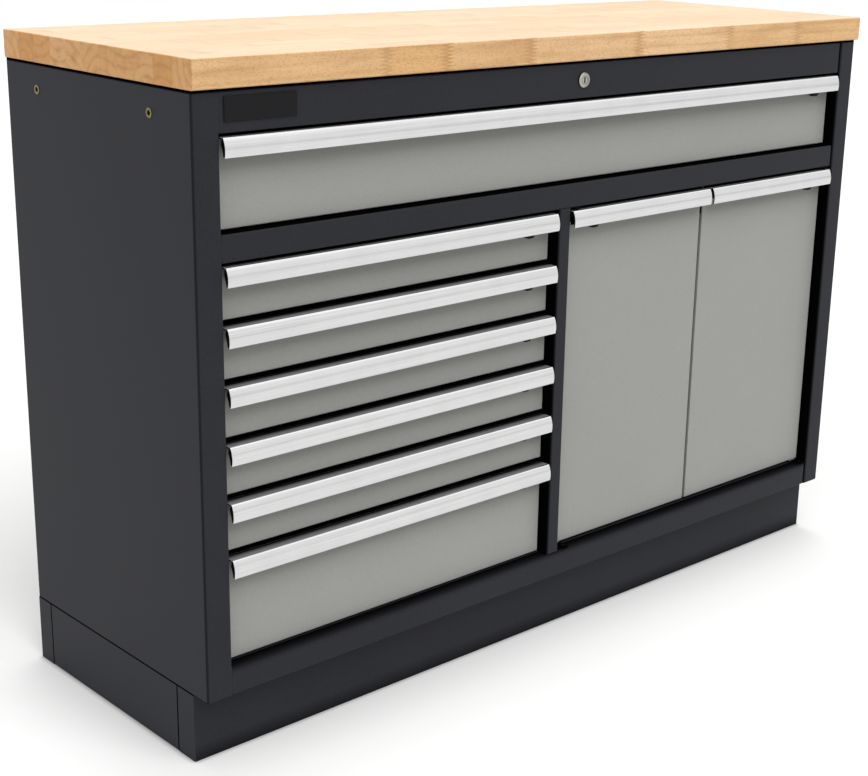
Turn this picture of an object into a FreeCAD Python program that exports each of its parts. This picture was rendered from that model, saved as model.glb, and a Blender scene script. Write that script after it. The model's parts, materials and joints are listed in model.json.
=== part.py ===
import FreeCAD, Part

import math
import os
from collections import namedtuple

# Workbench tool cabinet, in millimetres. X runs to the right, Y into the depth and Z up.
# The origin lies on the floor, in the middle of the cabinet's footprint.

# Overall sizes
carcass_width = 1360.0
carcass_depth = 455.5
plinth_height = 102.0
worktop_thickness = 38.0
worktop_side_overhang = 1.5
worktop_front_overhang = 6.5
worktop_edge_round = 2.0

# Sheet metal
panel_sheet = 1.2
drawer_sheet = 1.0
bend_radius = 1.0
hidden_bend = 0.0
flange_width = 25.0
edge_fold = 15.0

# Front frame
stile_width = 40.0
stile_return = 32.0
small_bay_share = 599.0 / 1360.0
centre_stile_width = 25.0
bottom_rail_height = 41.5
mid_rail_height = 36.0
top_rail_height = 55.0
rail_return = 24.0
top_rail_flange = 60.0
rail_left_gap = 0.3
rail_right_gap = 3.0
rear_flange_width = 20.0
back_panel_fit = 0.5

# Drawer fronts and doors
front_recess = 18.0
side_clearance = 4.0
door_gap = 7.0
small_drawer_count = 5
small_front_height = 72.5
deep_front_height = 151.0
wide_front_height = 118.5
front_gap = 6.3
bay_bottom_gap = 2.5
bay_top_gap = 5.5
wide_top_gap = 4.5
door_bottom_gap = 4.5
drawer_front_return = 15.0
door_return = 20.0

# Drawer trays
tray_rear_gap = 18.1
tray_rise = 6.0
tray_drop = 10.0
tray_lip = 6.0

# Telescopic slides
slide_thickness = 12.7
slide_sheet = 1.2
slide_play = 0.4
slide_lift = 4.0
small_slide_height = 35.0
wide_slide_height = 45.0
slide_front_gap = 2.0

# Posts that carry the slides in line with the stiles
post_width = 30.0
front_post_setback = 36.0
rear_post_inset = 70.5

# Handle extrusion: ledge on top, curved blade in front, leg against the front panel
handle_height = 25.0
handle_reach = 24.5
handle_wall = 2.0
handle_leg_height = 22.0
blade_bulge_drop = 16.5
blade_top_setback = 4.5
handle_edge_round = 1.2

# Sliding catch under each handle
catch_width = 18.0
catch_drop = 33.0
catch_top_drop = 6.0
catch_depth = 7.7
catch_corner_chamfer = 4.0
catch_travel = 6.0
catch_play = 0.3
catch_end_gap = 0.5
tongue_height = 7.0
tongue_depth = 3.0
tongue_setback = 2.7
tongue_top_drop = 7.0
guide_length = 10.0
guide_height = 5.0
guide_top_drop = 12.0
drawer_catch_inset = 46.0
left_door_catch_inset = 59.0
right_door_catch_inset = 44.0

# Door pivots
pivot_inset = 11.0
pivot_setback = 2.5
pivot_pin_radius = 2.5
pivot_running_fit = 0.05
pivot_plate = 1.7
pivot_plate_half_width = 9.0
pivot_plate_depth = 28.0
door_bracket_sheet = 2.5
door_bracket_eye = 6.0
bracket_leg = 30.0
upper_bracket_drop = 16.0
pivot_axial_play = 0.3
pivot_pin_tail = 1.0
pin_hole_clearance = 0.8
door_notch_width = 24.0
door_notch_height = 26.0
door_edge_relief = 45.0
door_stiffener_width = 60.0
door_stiffener_depth = 12.0

# Plinth
plinth_setback = 35.0
plinth_sheet = 1.5
plinth_front_return = 39.5
plinth_rear_return = 35.5
plinth_joint_gap = 1.0
plinth_top_reveal = 1.2
plinth_splice = 15.0

# Shelf
shelf_height = 420.0
shelf_front_setback = 62.0
shelf_rear_gap = 8.0
shelf_fit = 0.3
clip_tongue_width = 6.0
clip_tongue_height = 3.0
clip_tongue_length = panel_sheet
clip_slot_fit = 0.1
clip_width = 10.0
clip_reach = 8.0
clip_drop = 12.0
clip_end_distance = 45.0

# Lock and the bar that it lifts
lock_rise = 26.5
lock_head_radius = 11.0
lock_head_height = 3.0
lock_head_bevel = 1.2
lock_barrel_radius = 8.5
lock_barrel_length = 22.0
lock_hole_fit = 0.1
lock_recess_radius = 7.6
lock_recess_depth = 0.5
lock_nut_radius = 13.0
lock_nut_thickness = 4.0
plug_radius = 6.0
plug_running_fit = 0.05
plug_tail = 2.0
key_slot_width = 2.2
key_slot_height = 8.0
key_slot_depth = 9.0
key_slot_tilt = 8.0
lock_rod_radius = 3.0
crank_radius = 18.0
crank_eye_radius = 5.5
crank_plate = 3.0
crank_pin_radius = 2.5
crank_play = 0.8
bearing_ear_sheet = 2.0
bearing_ear_half_width = 12.0
bearing_ear_drop = 10.0
bearing_foot = 18.0
bar_rear_gap = 11.0
bar_sheet = 2.5
bar_width = 24.0
bar_offset = 34.0
bar_arm_height = 16.0
bar_guide_fit = 0.4
bar_tail = 32.0
bar_arm_wall = 6.0
stud_shank_radius = 2.5
stud_head_radius = 5.0
stud_head_length = 3.0
stud_rise = 34.0
stud_behind_bar = 0.8
keyhole_clearance = 1.5
keyhole_slot_clearance = 0.7

# Threaded inserts in the sides, for a neighbouring cabinet
insert_front_setback = 92.0
insert_rear_setback = 83.5
insert_drop = 36.5
insert_flange_radius = 6.5
insert_flange_height = 0.8
insert_body_radius = 5.5
insert_length = 16.0
insert_bore_radius = 3.4
insert_fit = 0.05

# Planes and edges that follow from the sizes above
half_width = carcass_width / 2
frame_y = worktop_front_overhang - (carcass_depth + worktop_front_overhang) / 2
rear_y = frame_y + carcass_depth
face_y = frame_y + front_recess
back_panel_y = rear_y - 2 * panel_sheet
web_x = half_width - panel_sheet
opening_left = stile_width - half_width
opening_right = half_width - stile_width
centre_left = opening_left + carcass_width * small_bay_share
centre_right = centre_left + centre_stile_width
floor_z = plinth_height + bottom_rail_height
small_pitch = small_front_height + front_gap
small_stack = small_drawer_count * small_pitch
lower_top_z = floor_z + bay_bottom_gap + deep_front_height + small_stack + bay_top_gap
mid_rail_top_z = lower_top_z + mid_rail_height
upper_top_z = mid_rail_top_z + bay_bottom_gap + wide_front_height + wide_top_gap
carcass_top_z = upper_top_z + top_rail_height
slide_front_y = face_y + drawer_front_return + slide_front_gap
tray_back_y = back_panel_y - tray_rear_gap
rail_rear_y = frame_y + stile_return + 2 * panel_sheet
lock_z = upper_top_z + lock_rise
bar_y = rear_y - bar_rear_gap - bar_sheet
bar_x = centre_left - bar_offset
bar_lift = 2 * crank_radius * math.sin(math.radians(45.0))
crank_drop = crank_radius * math.sin(math.radians(45.0))
crank_y = bar_y - 2 * crank_plate
ear_y = crank_y - 2 * bearing_ear_sheet

Front = namedtuple("Front", "name left right bottom top")
Drawer = namedtuple("Drawer", "front bay_left bay_right slide_height")


def block(x0, x1, y0, y1, z0, z1):
    """Rectangular solid between two corners."""
    return Part.makeBox(x1 - x0, y1 - y0, z1 - z0, FreeCAD.Vector(x0, y0, z0))


def rod(radius, start, direction, length):
    """Round bar from a start point along a direction."""
    return Part.makeCylinder(radius, length, FreeCAD.Vector(*start), FreeCAD.Vector(*direction))


def hexagon(plane, u, v, radius, start, end):
    """Hexagonal bar round a point of a plane, from start to end along the plane's normal."""
    corners = []
    for corner in range(7):
        angle = math.radians(60.0 * corner)
        corners.append(in_plane(plane, u + radius * math.cos(angle), v + radius * math.sin(angle), start))
    return Part.Face(Part.makePolygon(corners)).extrude(normal_of(plane, end - start))


def fuse(first, *others):
    """Join solids into one and drop the seams between flush faces."""
    return first.fuse(list(others)).removeSplitter()


def group(solids):
    """Separate solids that share one node."""
    return Part.Compound(solids)


def in_plane(plane, u, v, depth=0.0):
    """Point of a section in plane XY, YZ or XZ, at a depth along the plane's normal."""
    if plane == "XY":
        return FreeCAD.Vector(u, v, depth)
    if plane == "YZ":
        return FreeCAD.Vector(depth, u, v)
    return FreeCAD.Vector(u, depth, v)


def normal_of(plane, length):
    """Vector along a section plane's extrusion axis."""
    return in_plane(plane, 0.0, 0.0, length)


def offset_path(points, distance):
    """Points of a path moved sideways to its left by a distance, mitred at the corners."""
    moved = []
    last = len(points) - 1
    for index, (u, v) in enumerate(points):
        normals = []
        for start in (index - 1, index):
            if 0 <= start < last:
                du = points[start + 1][0] - points[start][0]
                dv = points[start + 1][1] - points[start][1]
                length = math.hypot(du, dv)
                normals.append((-dv / length, du / length))
        if len(normals) == 1:
            nu, nv = normals[0]
            scale = 1.0
        else:
            nu = normals[0][0] + normals[1][0]
            nv = normals[0][1] + normals[1][1]
            scale = 2.0 / (nu * nu + nv * nv)
        moved.append((u + nu * scale * distance, v + nv * scale * distance))
    return moved


def bent_edges(points, radii, plane, depth):
    """Straight runs joined by tangent arcs, one radius for each inner point, 0 for a sharp corner."""
    edges = []
    start = points[0]
    for index in range(1, len(points) - 1):
        corner = points[index]
        radius = radii[index - 1]
        arms = []
        for other in (points[index - 1], points[index + 1]):
            length = math.hypot(other[0] - corner[0], other[1] - corner[1])
            arms.append(((other[0] - corner[0]) / length, (other[1] - corner[1]) / length))
        if radius == 0.0:
            ends = (in_plane(plane, *start, depth), in_plane(plane, *corner, depth))
            edges.append(Part.LineSegment(*ends).toShape())
            start = corner
            continue
        half_angle = math.acos(arms[0][0] * arms[1][0] + arms[0][1] * arms[1][1]) / 2
        run_in = radius / math.tan(half_angle)
        bisector = (arms[0][0] + arms[1][0], arms[0][1] + arms[1][1])
        reach = (radius / math.sin(half_angle) - radius) / math.hypot(*bisector)
        first = (corner[0] + arms[0][0] * run_in, corner[1] + arms[0][1] * run_in)
        middle = (corner[0] + bisector[0] * reach, corner[1] + bisector[1] * reach)
        second = (corner[0] + arms[1][0] * run_in, corner[1] + arms[1][1] * run_in)
        arc_points = [in_plane(plane, *point, depth) for point in (first, middle, second)]
        edges.append(Part.LineSegment(in_plane(plane, *start, depth), arc_points[0]).toShape())
        edges.append(Part.Arc(*arc_points).toShape())
        start = second
    edges.append(Part.LineSegment(in_plane(plane, *start, depth), in_plane(plane, *points[-1], depth)).toShape())
    return edges


def folded(points, sheet, bend, plane, start, end):
    """Sheet metal folded along a path and extruded from start to end across its plane.

    The path is one face of the sheet and the metal lies on its left. Each fold keeps the bend
    radius on its inside, and a bend of 0 leaves both faces sharp.
    """
    far = offset_path(points, sheet)
    outer_bend = bend + sheet if bend > 0.0 else 0.0
    near_radii = []
    far_radii = []
    for index in range(1, len(points) - 1):
        before = (points[index][0] - points[index - 1][0], points[index][1] - points[index - 1][1])
        after = (points[index + 1][0] - points[index][0], points[index + 1][1] - points[index][1])
        turns_left = before[0] * after[1] - before[1] * after[0] > 0
        near_radii.append(outer_bend if turns_left else bend)
        far_radii.append(bend if turns_left else outer_bend)
    near_side = bent_edges(points, near_radii, plane, start)
    far_side = bent_edges(far[::-1], far_radii[::-1], plane, start)
    near_ends = [in_plane(plane, *points[0], start), in_plane(plane, *points[-1], start)]
    far_ends = [in_plane(plane, *far[0], start), in_plane(plane, *far[-1], start)]
    end_cut = Part.LineSegment(near_ends[1], far_ends[1]).toShape()
    start_cut = Part.LineSegment(far_ends[0], near_ends[0]).toShape()
    outline = Part.Wire(near_side + [end_cut] + far_side + [start_cut])
    return Part.Face(outline).extrude(normal_of(plane, end - start))


def mirrored_in_x(shape):
    """Copy of a shape on the other side of the cabinet's middle plane."""
    return shape.mirror(FreeCAD.Vector(0, 0, 0), FreeCAD.Vector(1, 0, 0))


def deep_front():
    """Front of the deep bottom drawer."""
    bottom = floor_z + bay_bottom_gap
    left = opening_left + side_clearance
    right = centre_left - side_clearance
    return Front("deep_drawer", left, right, bottom, bottom + deep_front_height)


def small_front(number):
    """Front of a small drawer, number 1 at the top."""
    below = deep_front()
    bottom = below.top + front_gap + (small_drawer_count - number) * small_pitch
    return Front(f"drawer_{number}", below.left, below.right, bottom, bottom + small_front_height)


def wide_front():
    """Front of the wide top drawer."""
    bottom = mid_rail_top_z + bay_bottom_gap
    left = opening_left + side_clearance
    right = opening_right - side_clearance
    return Front("wide_drawer", left, right, bottom, bottom + wide_front_height)


def drawers():
    """All drawers with the faces that their slides hang on."""
    listed = [Drawer(wide_front(), opening_left, opening_right, wide_slide_height)]
    for number in range(1, small_drawer_count + 1):
        listed.append(Drawer(small_front(number), opening_left, centre_left, small_slide_height))
    listed.append(Drawer(deep_front(), opening_left, centre_left, small_slide_height))
    return listed


def door_fronts():
    """Left and right door, of equal width."""
    left = centre_right + side_clearance
    right = opening_right - side_clearance
    width = (right - left - door_gap) / 2
    bottom = floor_z + door_bottom_gap
    top = lower_top_z - bay_top_gap
    left_door = Front("left_door", left, left + width, bottom, top)
    right_door = Front("right_door", right - width, right, bottom, top)
    return left_door, right_door


def strike_slot(stile_x, direction, front_top):
    """Space that a catch's tongue needs in a stile's return, through the sheet at stile_x."""
    margin = 1.0
    y1 = face_y - handle_wall - tongue_setback + margin
    y0 = y1 - tongue_depth - 2 * margin
    z1 = front_top - tongue_top_drop + margin
    z0 = z1 - tongue_height - 2 * margin
    ends = sorted((stile_x - direction * margin, stile_x + direction * (panel_sheet + margin)))
    return block(ends[0], ends[1], y0, y1, z0, z1)


def insert_places():
    """Depths of the two threaded inserts in a side."""
    return [frame_y + insert_front_setback, rear_y - insert_rear_setback]


def side_panel(clip_holes):
    """Left side panel, folded at the front into the stile and its return, and at the rear.

    Flanges at the top and bottom carry the worktop and stand on the plinth.
    """
    outline = [
        (opening_left, frame_y + stile_return),
        (opening_left, frame_y),
        (-half_width, frame_y),
        (-half_width, rear_y),
        (rear_flange_width - half_width, rear_y),
    ]
    panel = folded(outline[::-1], panel_sheet, bend_radius, "XY", plinth_height, carcass_top_z)
    clear_of_bend = 2 * (panel_sheet + bend_radius)
    flange_ends = (frame_y + clear_of_bend, back_panel_y - clear_of_bend)
    flange_inner = flange_width - half_width
    top = block(-half_width, flange_inner, *flange_ends, carcass_top_z - panel_sheet, carcass_top_z)
    bottom = block(-half_width, flange_inner, *flange_ends, plinth_height, plinth_height + panel_sheet)
    panel = fuse(panel, top, bottom)
    outside = -half_width - panel_sheet
    inside = panel_sheet - web_x
    for y in insert_places():
        z = carcass_top_z - insert_drop
        panel = panel.cut(hexagon("YZ", y, z, insert_body_radius + insert_fit, outside, inside))
    for y, z in clip_holes:
        panel = panel.cut(clip_slot(y, z, outside, inside))
    return panel


def left_side_panel():
    """Left side, with no strike slots, because every drawer latches at its right end."""
    return side_panel([])


def right_side_panel():
    """Right side, with slots for the wide drawer's and right door's catches and shelf clip holes."""
    panel = mirrored_in_x(side_panel(clip_places()))
    for front in (wide_front(), door_fronts()[1]):
        panel = panel.cut(strike_slot(opening_right, 1, front.top))
    return panel


def worktop():
    """Solid wood top with its long front edges and upper side edges eased."""
    front = frame_y - worktop_front_overhang
    half = half_width + worktop_side_overhang
    slab = block(-half, half, front, rear_y, carcass_top_z, carcass_top_z + worktop_thickness)
    eased = [edge for edge in slab.Edges if is_worktop_edge(edge, front)]
    return slab.makeFillet(worktop_edge_round, eased)


def is_worktop_edge(edge, front):
    """Whether an edge of the worktop is a long front edge or an upper side edge."""
    ends = [vertex.Point for vertex in edge.Vertexes]
    tolerance = 0.001
    at_front = all(abs(end.y - front) < tolerance for end in ends)
    upper = all(end.z > carcass_top_z + worktop_thickness / 2 for end in ends)
    across = abs(ends[0].x - ends[1].x) < tolerance
    return (at_front and not across) or (upper and across)


def top_rail():
    """Rail over the wide drawer, with the flange that carries the worktop and the lock hole."""
    section = [
        (frame_y + rail_return, upper_top_z),
        (frame_y, upper_top_z),
        (frame_y, carcass_top_z),
        (frame_y + top_rail_flange, carcass_top_z),
    ]
    left = opening_left + rail_left_gap
    right = opening_right - rail_right_gap
    rail = folded(section[::-1], panel_sheet, bend_radius, "YZ", left, right)
    start = (0, frame_y - panel_sheet, lock_z)
    return rail.cut(rod(lock_barrel_radius + lock_hole_fit, start, (0, 1, 0), 3 * panel_sheet))


def bar_guide_slot(z):
    """Slot in a horizontal sheet at height z, in which the lock bar slides."""
    half = bar_width / 2 + bar_guide_fit
    front = bar_y - bar_guide_fit
    back = bar_y + bar_sheet + bar_guide_fit
    return block(bar_x - half, bar_x + half, front, back, z - 2 * panel_sheet, z + 2 * panel_sheet)


def mid_panel():
    """Rail under the wide drawer, folded from the sheet that divides the upper from the lower bays."""
    section = [
        (frame_y + rail_return, mid_rail_top_z),
        (frame_y, mid_rail_top_z),
        (frame_y, lower_top_z),
        (rail_rear_y, lower_top_z),
    ]
    left = opening_left + rail_left_gap
    right = opening_right - rail_right_gap
    rail = folded(section, panel_sheet, bend_radius, "YZ", left, right)
    sheet = block(-web_x, web_x, rail_rear_y, back_panel_y, lower_top_z, lower_top_z + panel_sheet)
    fold = block(-web_x, web_x, back_panel_y - panel_sheet, back_panel_y, lower_top_z, lower_top_z + edge_fold)
    return fuse(rail, sheet, fold).cut(bar_guide_slot(lower_top_z))


def bottom_panel():
    """Bottom rail, folded from the sheet that forms the floor of the lower bays."""
    section = [
        (rail_rear_y, floor_z),
        (frame_y, floor_z),
        (frame_y, plinth_height),
        (frame_y + rail_return, plinth_height),
    ]
    left = opening_left + rail_left_gap
    right = opening_right - rail_right_gap
    rail = folded(section, panel_sheet, bend_radius, "YZ", left, right)
    sheet = block(-web_x, web_x, rail_rear_y, back_panel_y, floor_z - panel_sheet, floor_z)
    rear = block(-web_x, web_x, back_panel_y - panel_sheet, back_panel_y, floor_z - edge_fold, floor_z)
    left_fold = block(-web_x, panel_sheet - web_x, rail_rear_y, back_panel_y, floor_z - edge_fold, floor_z)
    right_fold = mirrored_in_x(left_fold)
    return fuse(rail, sheet, rear, left_fold, right_fold).cut(bar_guide_slot(floor_z))


def back_panel():
    """Rear skin with a top flange that carries the worktop."""
    inner_top = carcass_top_z - panel_sheet
    skin_half = web_x - bend_radius - back_panel_fit
    skin = block(-skin_half, skin_half, back_panel_y, rear_y - panel_sheet, plinth_height, inner_top)
    flange_half = half_width - flange_width - panel_sheet
    flange_front = back_panel_y - top_rail_flange
    flange = block(-flange_half, flange_half, flange_front, rear_y - panel_sheet, inner_top, carcass_top_z)
    return fuse(skin, flange)


def centre_partition():
    """Wall between the small drawers and the doors, folded at the front into the centre stile."""
    outline = [
        (centre_left, back_panel_y),
        (centre_left, frame_y),
        (centre_right, frame_y),
        (centre_right, back_panel_y),
    ]
    wall = folded(outline, panel_sheet, bend_radius, "XY", floor_z, lower_top_z)
    for drawer in drawers()[1:]:
        wall = wall.cut(strike_slot(centre_left, 1, drawer.front.top))
    wall = wall.cut(strike_slot(centre_right, -1, door_fronts()[0].top))
    for y, z in clip_places():
        wall = wall.cut(clip_slot(y, z, centre_right - 2 * panel_sheet, centre_right + panel_sheet))
    return wall


def plinth_board(front_y, back_y):
    """Plinth board across the cabinet between two depths, with its ends folded along the sides.

    The face is at front_y. When back_y is less than front_y the board faces the rear. Its top
    flange stands proud of the board by the reveal under the body.
    """
    side = half_width
    inward = 1 if back_y > front_y else -1
    outline = [(side, back_y), (side, front_y), (-side, front_y), (-side, back_y)]
    path = outline[::-1] if inward > 0 else outline
    board = folded(path, plinth_sheet, hidden_bend, "XY", 0.0, plinth_height - plinth_top_reveal)
    inner = side - plinth_sheet
    depths = sorted((front_y + inward * plinth_sheet / 2, front_y + inward * flange_width))
    foot = block(-inner, inner, depths[0], depths[1], 0.0, plinth_sheet)
    head = block(-inner, inner, depths[0], depths[1], plinth_height - plinth_sheet, plinth_height)
    return fuse(board, foot, head)


def plinth_side(front_y, back_y):
    """Left plinth board, with splice plates that lap behind the end boards' returns."""
    path = [
        (flange_width - half_width, 0.0),
        (-half_width, 0.0),
        (-half_width, plinth_height),
        (flange_width - half_width, plinth_height),
    ]
    channel = folded(path[::-1], plinth_sheet, bend_radius, "XZ", front_y, back_y)
    inner = plinth_sheet - half_width
    splice_bottom = 2 * plinth_sheet + bend_radius
    splice_ends = (splice_bottom, plinth_height - splice_bottom)
    front = block(inner, inner + plinth_sheet, front_y - plinth_splice, front_y + plinth_splice, *splice_ends)
    back = block(inner, inner + plinth_sheet, back_y - plinth_splice, back_y + plinth_splice, *splice_ends)
    return fuse(channel, front, back)


def plinth_boards():
    """Front, rear and side boards of the plinth."""
    front_y = frame_y + plinth_setback
    front_joint = front_y + plinth_front_return
    rear_joint = rear_y - plinth_rear_return
    side = plinth_side(front_joint + plinth_joint_gap, rear_joint - plinth_joint_gap)
    front = plinth_board(front_y, front_joint)
    rear = plinth_board(rear_y, rear_joint)
    return group([front, rear, side, mirrored_in_x(side)])


def slide_post(face_x, direction, y0, bottom, top):
    """Channel post from a side panel to the plane that the slides hang on."""
    y1 = y0 + post_width
    foot_x = -direction * web_x
    if direction > 0:
        path = [(foot_x, y1), (face_x, y1), (face_x, y0), (foot_x, y0)]
    else:
        path = [(foot_x, y0), (face_x, y0), (face_x, y1), (foot_x, y1)]
    return folded(path[::-1], panel_sheet, hidden_bend, "XY", bottom, top)


def slide_posts():
    """Front and rear posts of the left bay and of both ends of the wide drawer's bay."""
    posts = []
    upper = (lower_top_z + panel_sheet, carcass_top_z - panel_sheet)
    for y0 in (frame_y + front_post_setback, rear_y - rear_post_inset):
        posts.append(slide_post(opening_left, 1, y0, floor_z, lower_top_z))
        posts.append(slide_post(opening_left, 1, y0, *upper))
        posts.append(slide_post(opening_right, -1, y0, *upper))
    return group(posts)


def slide_channel(web_x0, direction, depth, height, middle_z):
    """One slide member: a channel whose web starts at web_x0 and whose flanges run in a direction."""
    x1 = web_x0 + direction * depth
    z0 = middle_z - height / 2
    z1 = middle_z + height / 2
    path = [(x1, z1), (web_x0, z1), (web_x0, z0), (x1, z0)]
    if direction < 0:
        path = path[::-1]
    return folded(path, slide_sheet, hidden_bend, "XZ", slide_front_y, tray_back_y)


def slide_members(drawer, member):
    """The left and right member of a drawer's slides: outer, middle or inner."""
    step = slide_sheet + slide_play
    middle_z = drawer.front.bottom + tray_rise + slide_lift + drawer.slide_height / 2
    pair = []
    for bay_x, inward in ((drawer.bay_left, 1), (drawer.bay_right, -1)):
        if member == "outer":
            depth = slide_thickness - slide_sheet - 2 * slide_play
            pair.append(slide_channel(bay_x, inward, depth, drawer.slide_height, middle_z))
        elif member == "middle":
            depth = slide_thickness - 3 * slide_sheet
            height = drawer.slide_height - 2 * step
            pair.append(slide_channel(bay_x + inward * step, inward, depth - slide_play, height, middle_z))
        else:
            depth = slide_thickness - 2 * step
            height = drawer.slide_height - 4 * step
            pair.append(slide_channel(bay_x + inward * slide_thickness, -inward, depth, height, middle_z))
    return pair


def outer_slides():
    """Cabinet members of all slides."""
    members = []
    for drawer in drawers():
        members.extend(slide_members(drawer, "outer"))
    return group(members)


def rear_stud(front):
    """Hexagon-headed stud on a tray's back, which the lock bar traps."""
    z = front.bottom + tray_rise + stud_rise
    shank_end = bar_y + bar_sheet + stud_behind_bar
    shank = rod(stud_shank_radius, (bar_x, tray_back_y, z), (0, 1, 0), shank_end - tray_back_y)
    head = hexagon("XZ", bar_x, z, stud_head_radius, shank_end, shank_end + stud_head_length)
    return shank, head


def front_pan(front, sheet, depth):
    """Front panel with edges folded back on all four sides, rounded at its top and bottom."""
    back_y = face_y + depth
    outside = block(front.left, front.right, face_y, back_y, front.bottom, front.top)
    inside = block(front.left + sheet, front.right - sheet, face_y + sheet, back_y, front.bottom + sheet, front.top - sheet)
    edges = [edge for edge in outside.Edges if is_along_x(edge, FreeCAD.Vector(0, face_y, front.bottom))]
    edges += [edge for edge in outside.Edges if is_along_x(edge, FreeCAD.Vector(0, face_y, front.top))]
    return outside.makeFillet(bend_radius + sheet, edges).cut(inside)


def drawer_body(drawer):
    """Tray folded from one sheet, with its back, its front panel and the stud for the lock bar."""
    front = drawer.front
    left = drawer.bay_left + slide_thickness
    right = drawer.bay_right - slide_thickness
    bottom = front.bottom + tray_rise
    top = front.top - tray_drop
    section = [
        (left - tray_lip, top),
        (left, top),
        (left, bottom),
        (right, bottom),
        (right, top),
        (right + tray_lip, top),
    ]
    tray = folded(section, drawer_sheet, hidden_bend, "XZ", face_y + drawer_sheet, tray_back_y)
    back = block(left + drawer_sheet / 2, right - drawer_sheet / 2, tray_back_y - drawer_sheet, tray_back_y,
                 bottom + drawer_sheet / 2, top)
    pan = front_pan(front, drawer_sheet, drawer_front_return)
    return fuse(tray, back, pan, *rear_stud(front))


def handle(front):
    """Aluminium handle over a front's top edge: ledge, curved blade and the leg it is fixed by."""
    top = front.top
    foremost = face_y - handle_reach
    radius = (blade_top_setback ** 2 + blade_bulge_drop ** 2) / (2 * blade_top_setback)
    centre_y = foremost + radius
    centre_z = top - blade_bulge_drop

    def on_arc(arc_radius, z):
        return centre_y - math.sqrt(arc_radius ** 2 - (z - centre_z) ** 2)

    inner_radius = radius - handle_wall
    tip_z = top - handle_height
    ledge_z = top - handle_wall
    leg_y = face_y - handle_wall
    leg_z = top - handle_leg_height

    def point(y, z):
        return FreeCAD.Vector(front.left, y, z)

    outer = [point(on_arc(radius, z), z) for z in (top, centre_z, tip_z)]
    inner = [point(on_arc(inner_radius, z), z) for z in (tip_z, centre_z, ledge_z)]
    leg = [point(leg_y, ledge_z), point(leg_y, leg_z), point(face_y, leg_z), point(face_y, top)]
    edges = [Part.Arc(*outer).toShape(), Part.LineSegment(outer[2], inner[0]).toShape(), Part.Arc(*inner).toShape()]
    corners = [inner[2]] + leg + [outer[0]]
    for start, end in zip(corners, corners[1:]):
        edges.append(Part.LineSegment(start, end).toShape())
    bar = Part.Face(Part.Wire(edges)).extrude(FreeCAD.Vector(front.right - front.left, 0, 0))
    brow = [edge for edge in bar.Edges if is_along_x(edge, outer[0])]
    return bar.makeFillet(handle_edge_round, brow)


def is_along_x(edge, point):
    """Whether an edge runs along X through a point's depth and height."""
    ends = [vertex.Point for vertex in edge.Vertexes]
    tolerance = 0.001
    return all(math.hypot(end.y - point.y, end.z - point.z) < tolerance for end in ends)


def guide_slot(front, end_x, direction, inset):
    """Slot in a handle's leg for the guide of its catch, as long as the catch's travel needs."""
    centre = end_x - direction * inset
    half = guide_length / 2 + catch_play
    ends = sorted((centre - direction * half, centre + direction * (half + catch_travel)))
    z1 = front.top - guide_top_drop + catch_play
    z0 = z1 - guide_height - 2 * catch_play
    return block(ends[0], ends[1], face_y - 2 * handle_wall, face_y + handle_wall, z0, z1)


def drawer_handle(drawer):
    """Handle of a drawer, slotted near its right end for the catch."""
    front = drawer.front
    return handle(front).cut(guide_slot(front, front.right, 1, drawer_catch_inset))


def catch(front, end_x, direction, inset):
    """Sliding catch: a finger pad below the handle and a tongue that reaches to the stile.

    At rest the tongue ends just short of the stile. Pushed outwards it enters the stile's slot.
    """
    centre = end_x - direction * inset
    back = face_y - handle_wall - catch_play
    bottom = front.top - catch_drop
    pad = block(centre - catch_width / 2, centre + catch_width / 2, back - catch_depth, back,
                bottom, front.top - catch_top_drop)
    lower = [edge for edge in pad.Edges if is_lower_corner(edge, bottom)]
    pad = pad.makeChamfer(catch_corner_chamfer, lower)
    tip = end_x + direction * (side_clearance - catch_end_gap)
    tongue_back = face_y - handle_wall - tongue_setback
    ends = sorted((centre, tip))
    tongue_top = front.top - tongue_top_drop
    tongue = block(ends[0], ends[1], tongue_back - tongue_depth, tongue_back, tongue_top - tongue_height, tongue_top)
    guide_top = front.top - guide_top_drop
    guide = block(centre - guide_length / 2, centre + guide_length / 2, back - handle_wall, face_y - catch_play,
                  guide_top - guide_height, guide_top)
    return fuse(pad, tongue, guide)


def is_lower_corner(edge, bottom):
    """Whether an edge of the catch's pad runs front to back along its bottom."""
    first, second = [vertex.Point for vertex in edge.Vertexes]
    tolerance = 0.001
    along_y = abs(first.x - second.x) < tolerance and abs(first.z - second.z) < tolerance
    return along_y and abs(first.z - bottom) < tolerance


def drawer_catch(drawer):
    """Catch of a drawer, at its right end."""
    return catch(drawer.front, drawer.front.right, 1, drawer_catch_inset)


def hinge_side(door):
    """Outer edge of a door and the direction from the door to that edge."""
    left_door = door_fronts()[0]
    if door.name == left_door.name:
        return door.left, -1
    return door.right, 1


def door_catch_inset(door):
    """Distance of a door's catch from its outer edge."""
    outward = hinge_side(door)[1]
    return right_door_catch_inset if outward > 0 else left_door_catch_inset


def pivot_x(door):
    """Position of a door's vertical pivot axis."""
    edge, outward = hinge_side(door)
    return edge - outward * pivot_inset


def pivot_arm(x, z0, z1):
    """Flat arm from behind the door's face to the pivot axis, bored for the pin."""
    half = door_bracket_eye
    y = frame_y + pivot_setback
    arm = block(x - half, x + half, y - half, face_y + door_return, z0, z1)
    return arm.cut(rod(pivot_pin_radius + pivot_running_fit, (x, y, z0), (0, 0, 1), z1 - z0))


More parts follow.
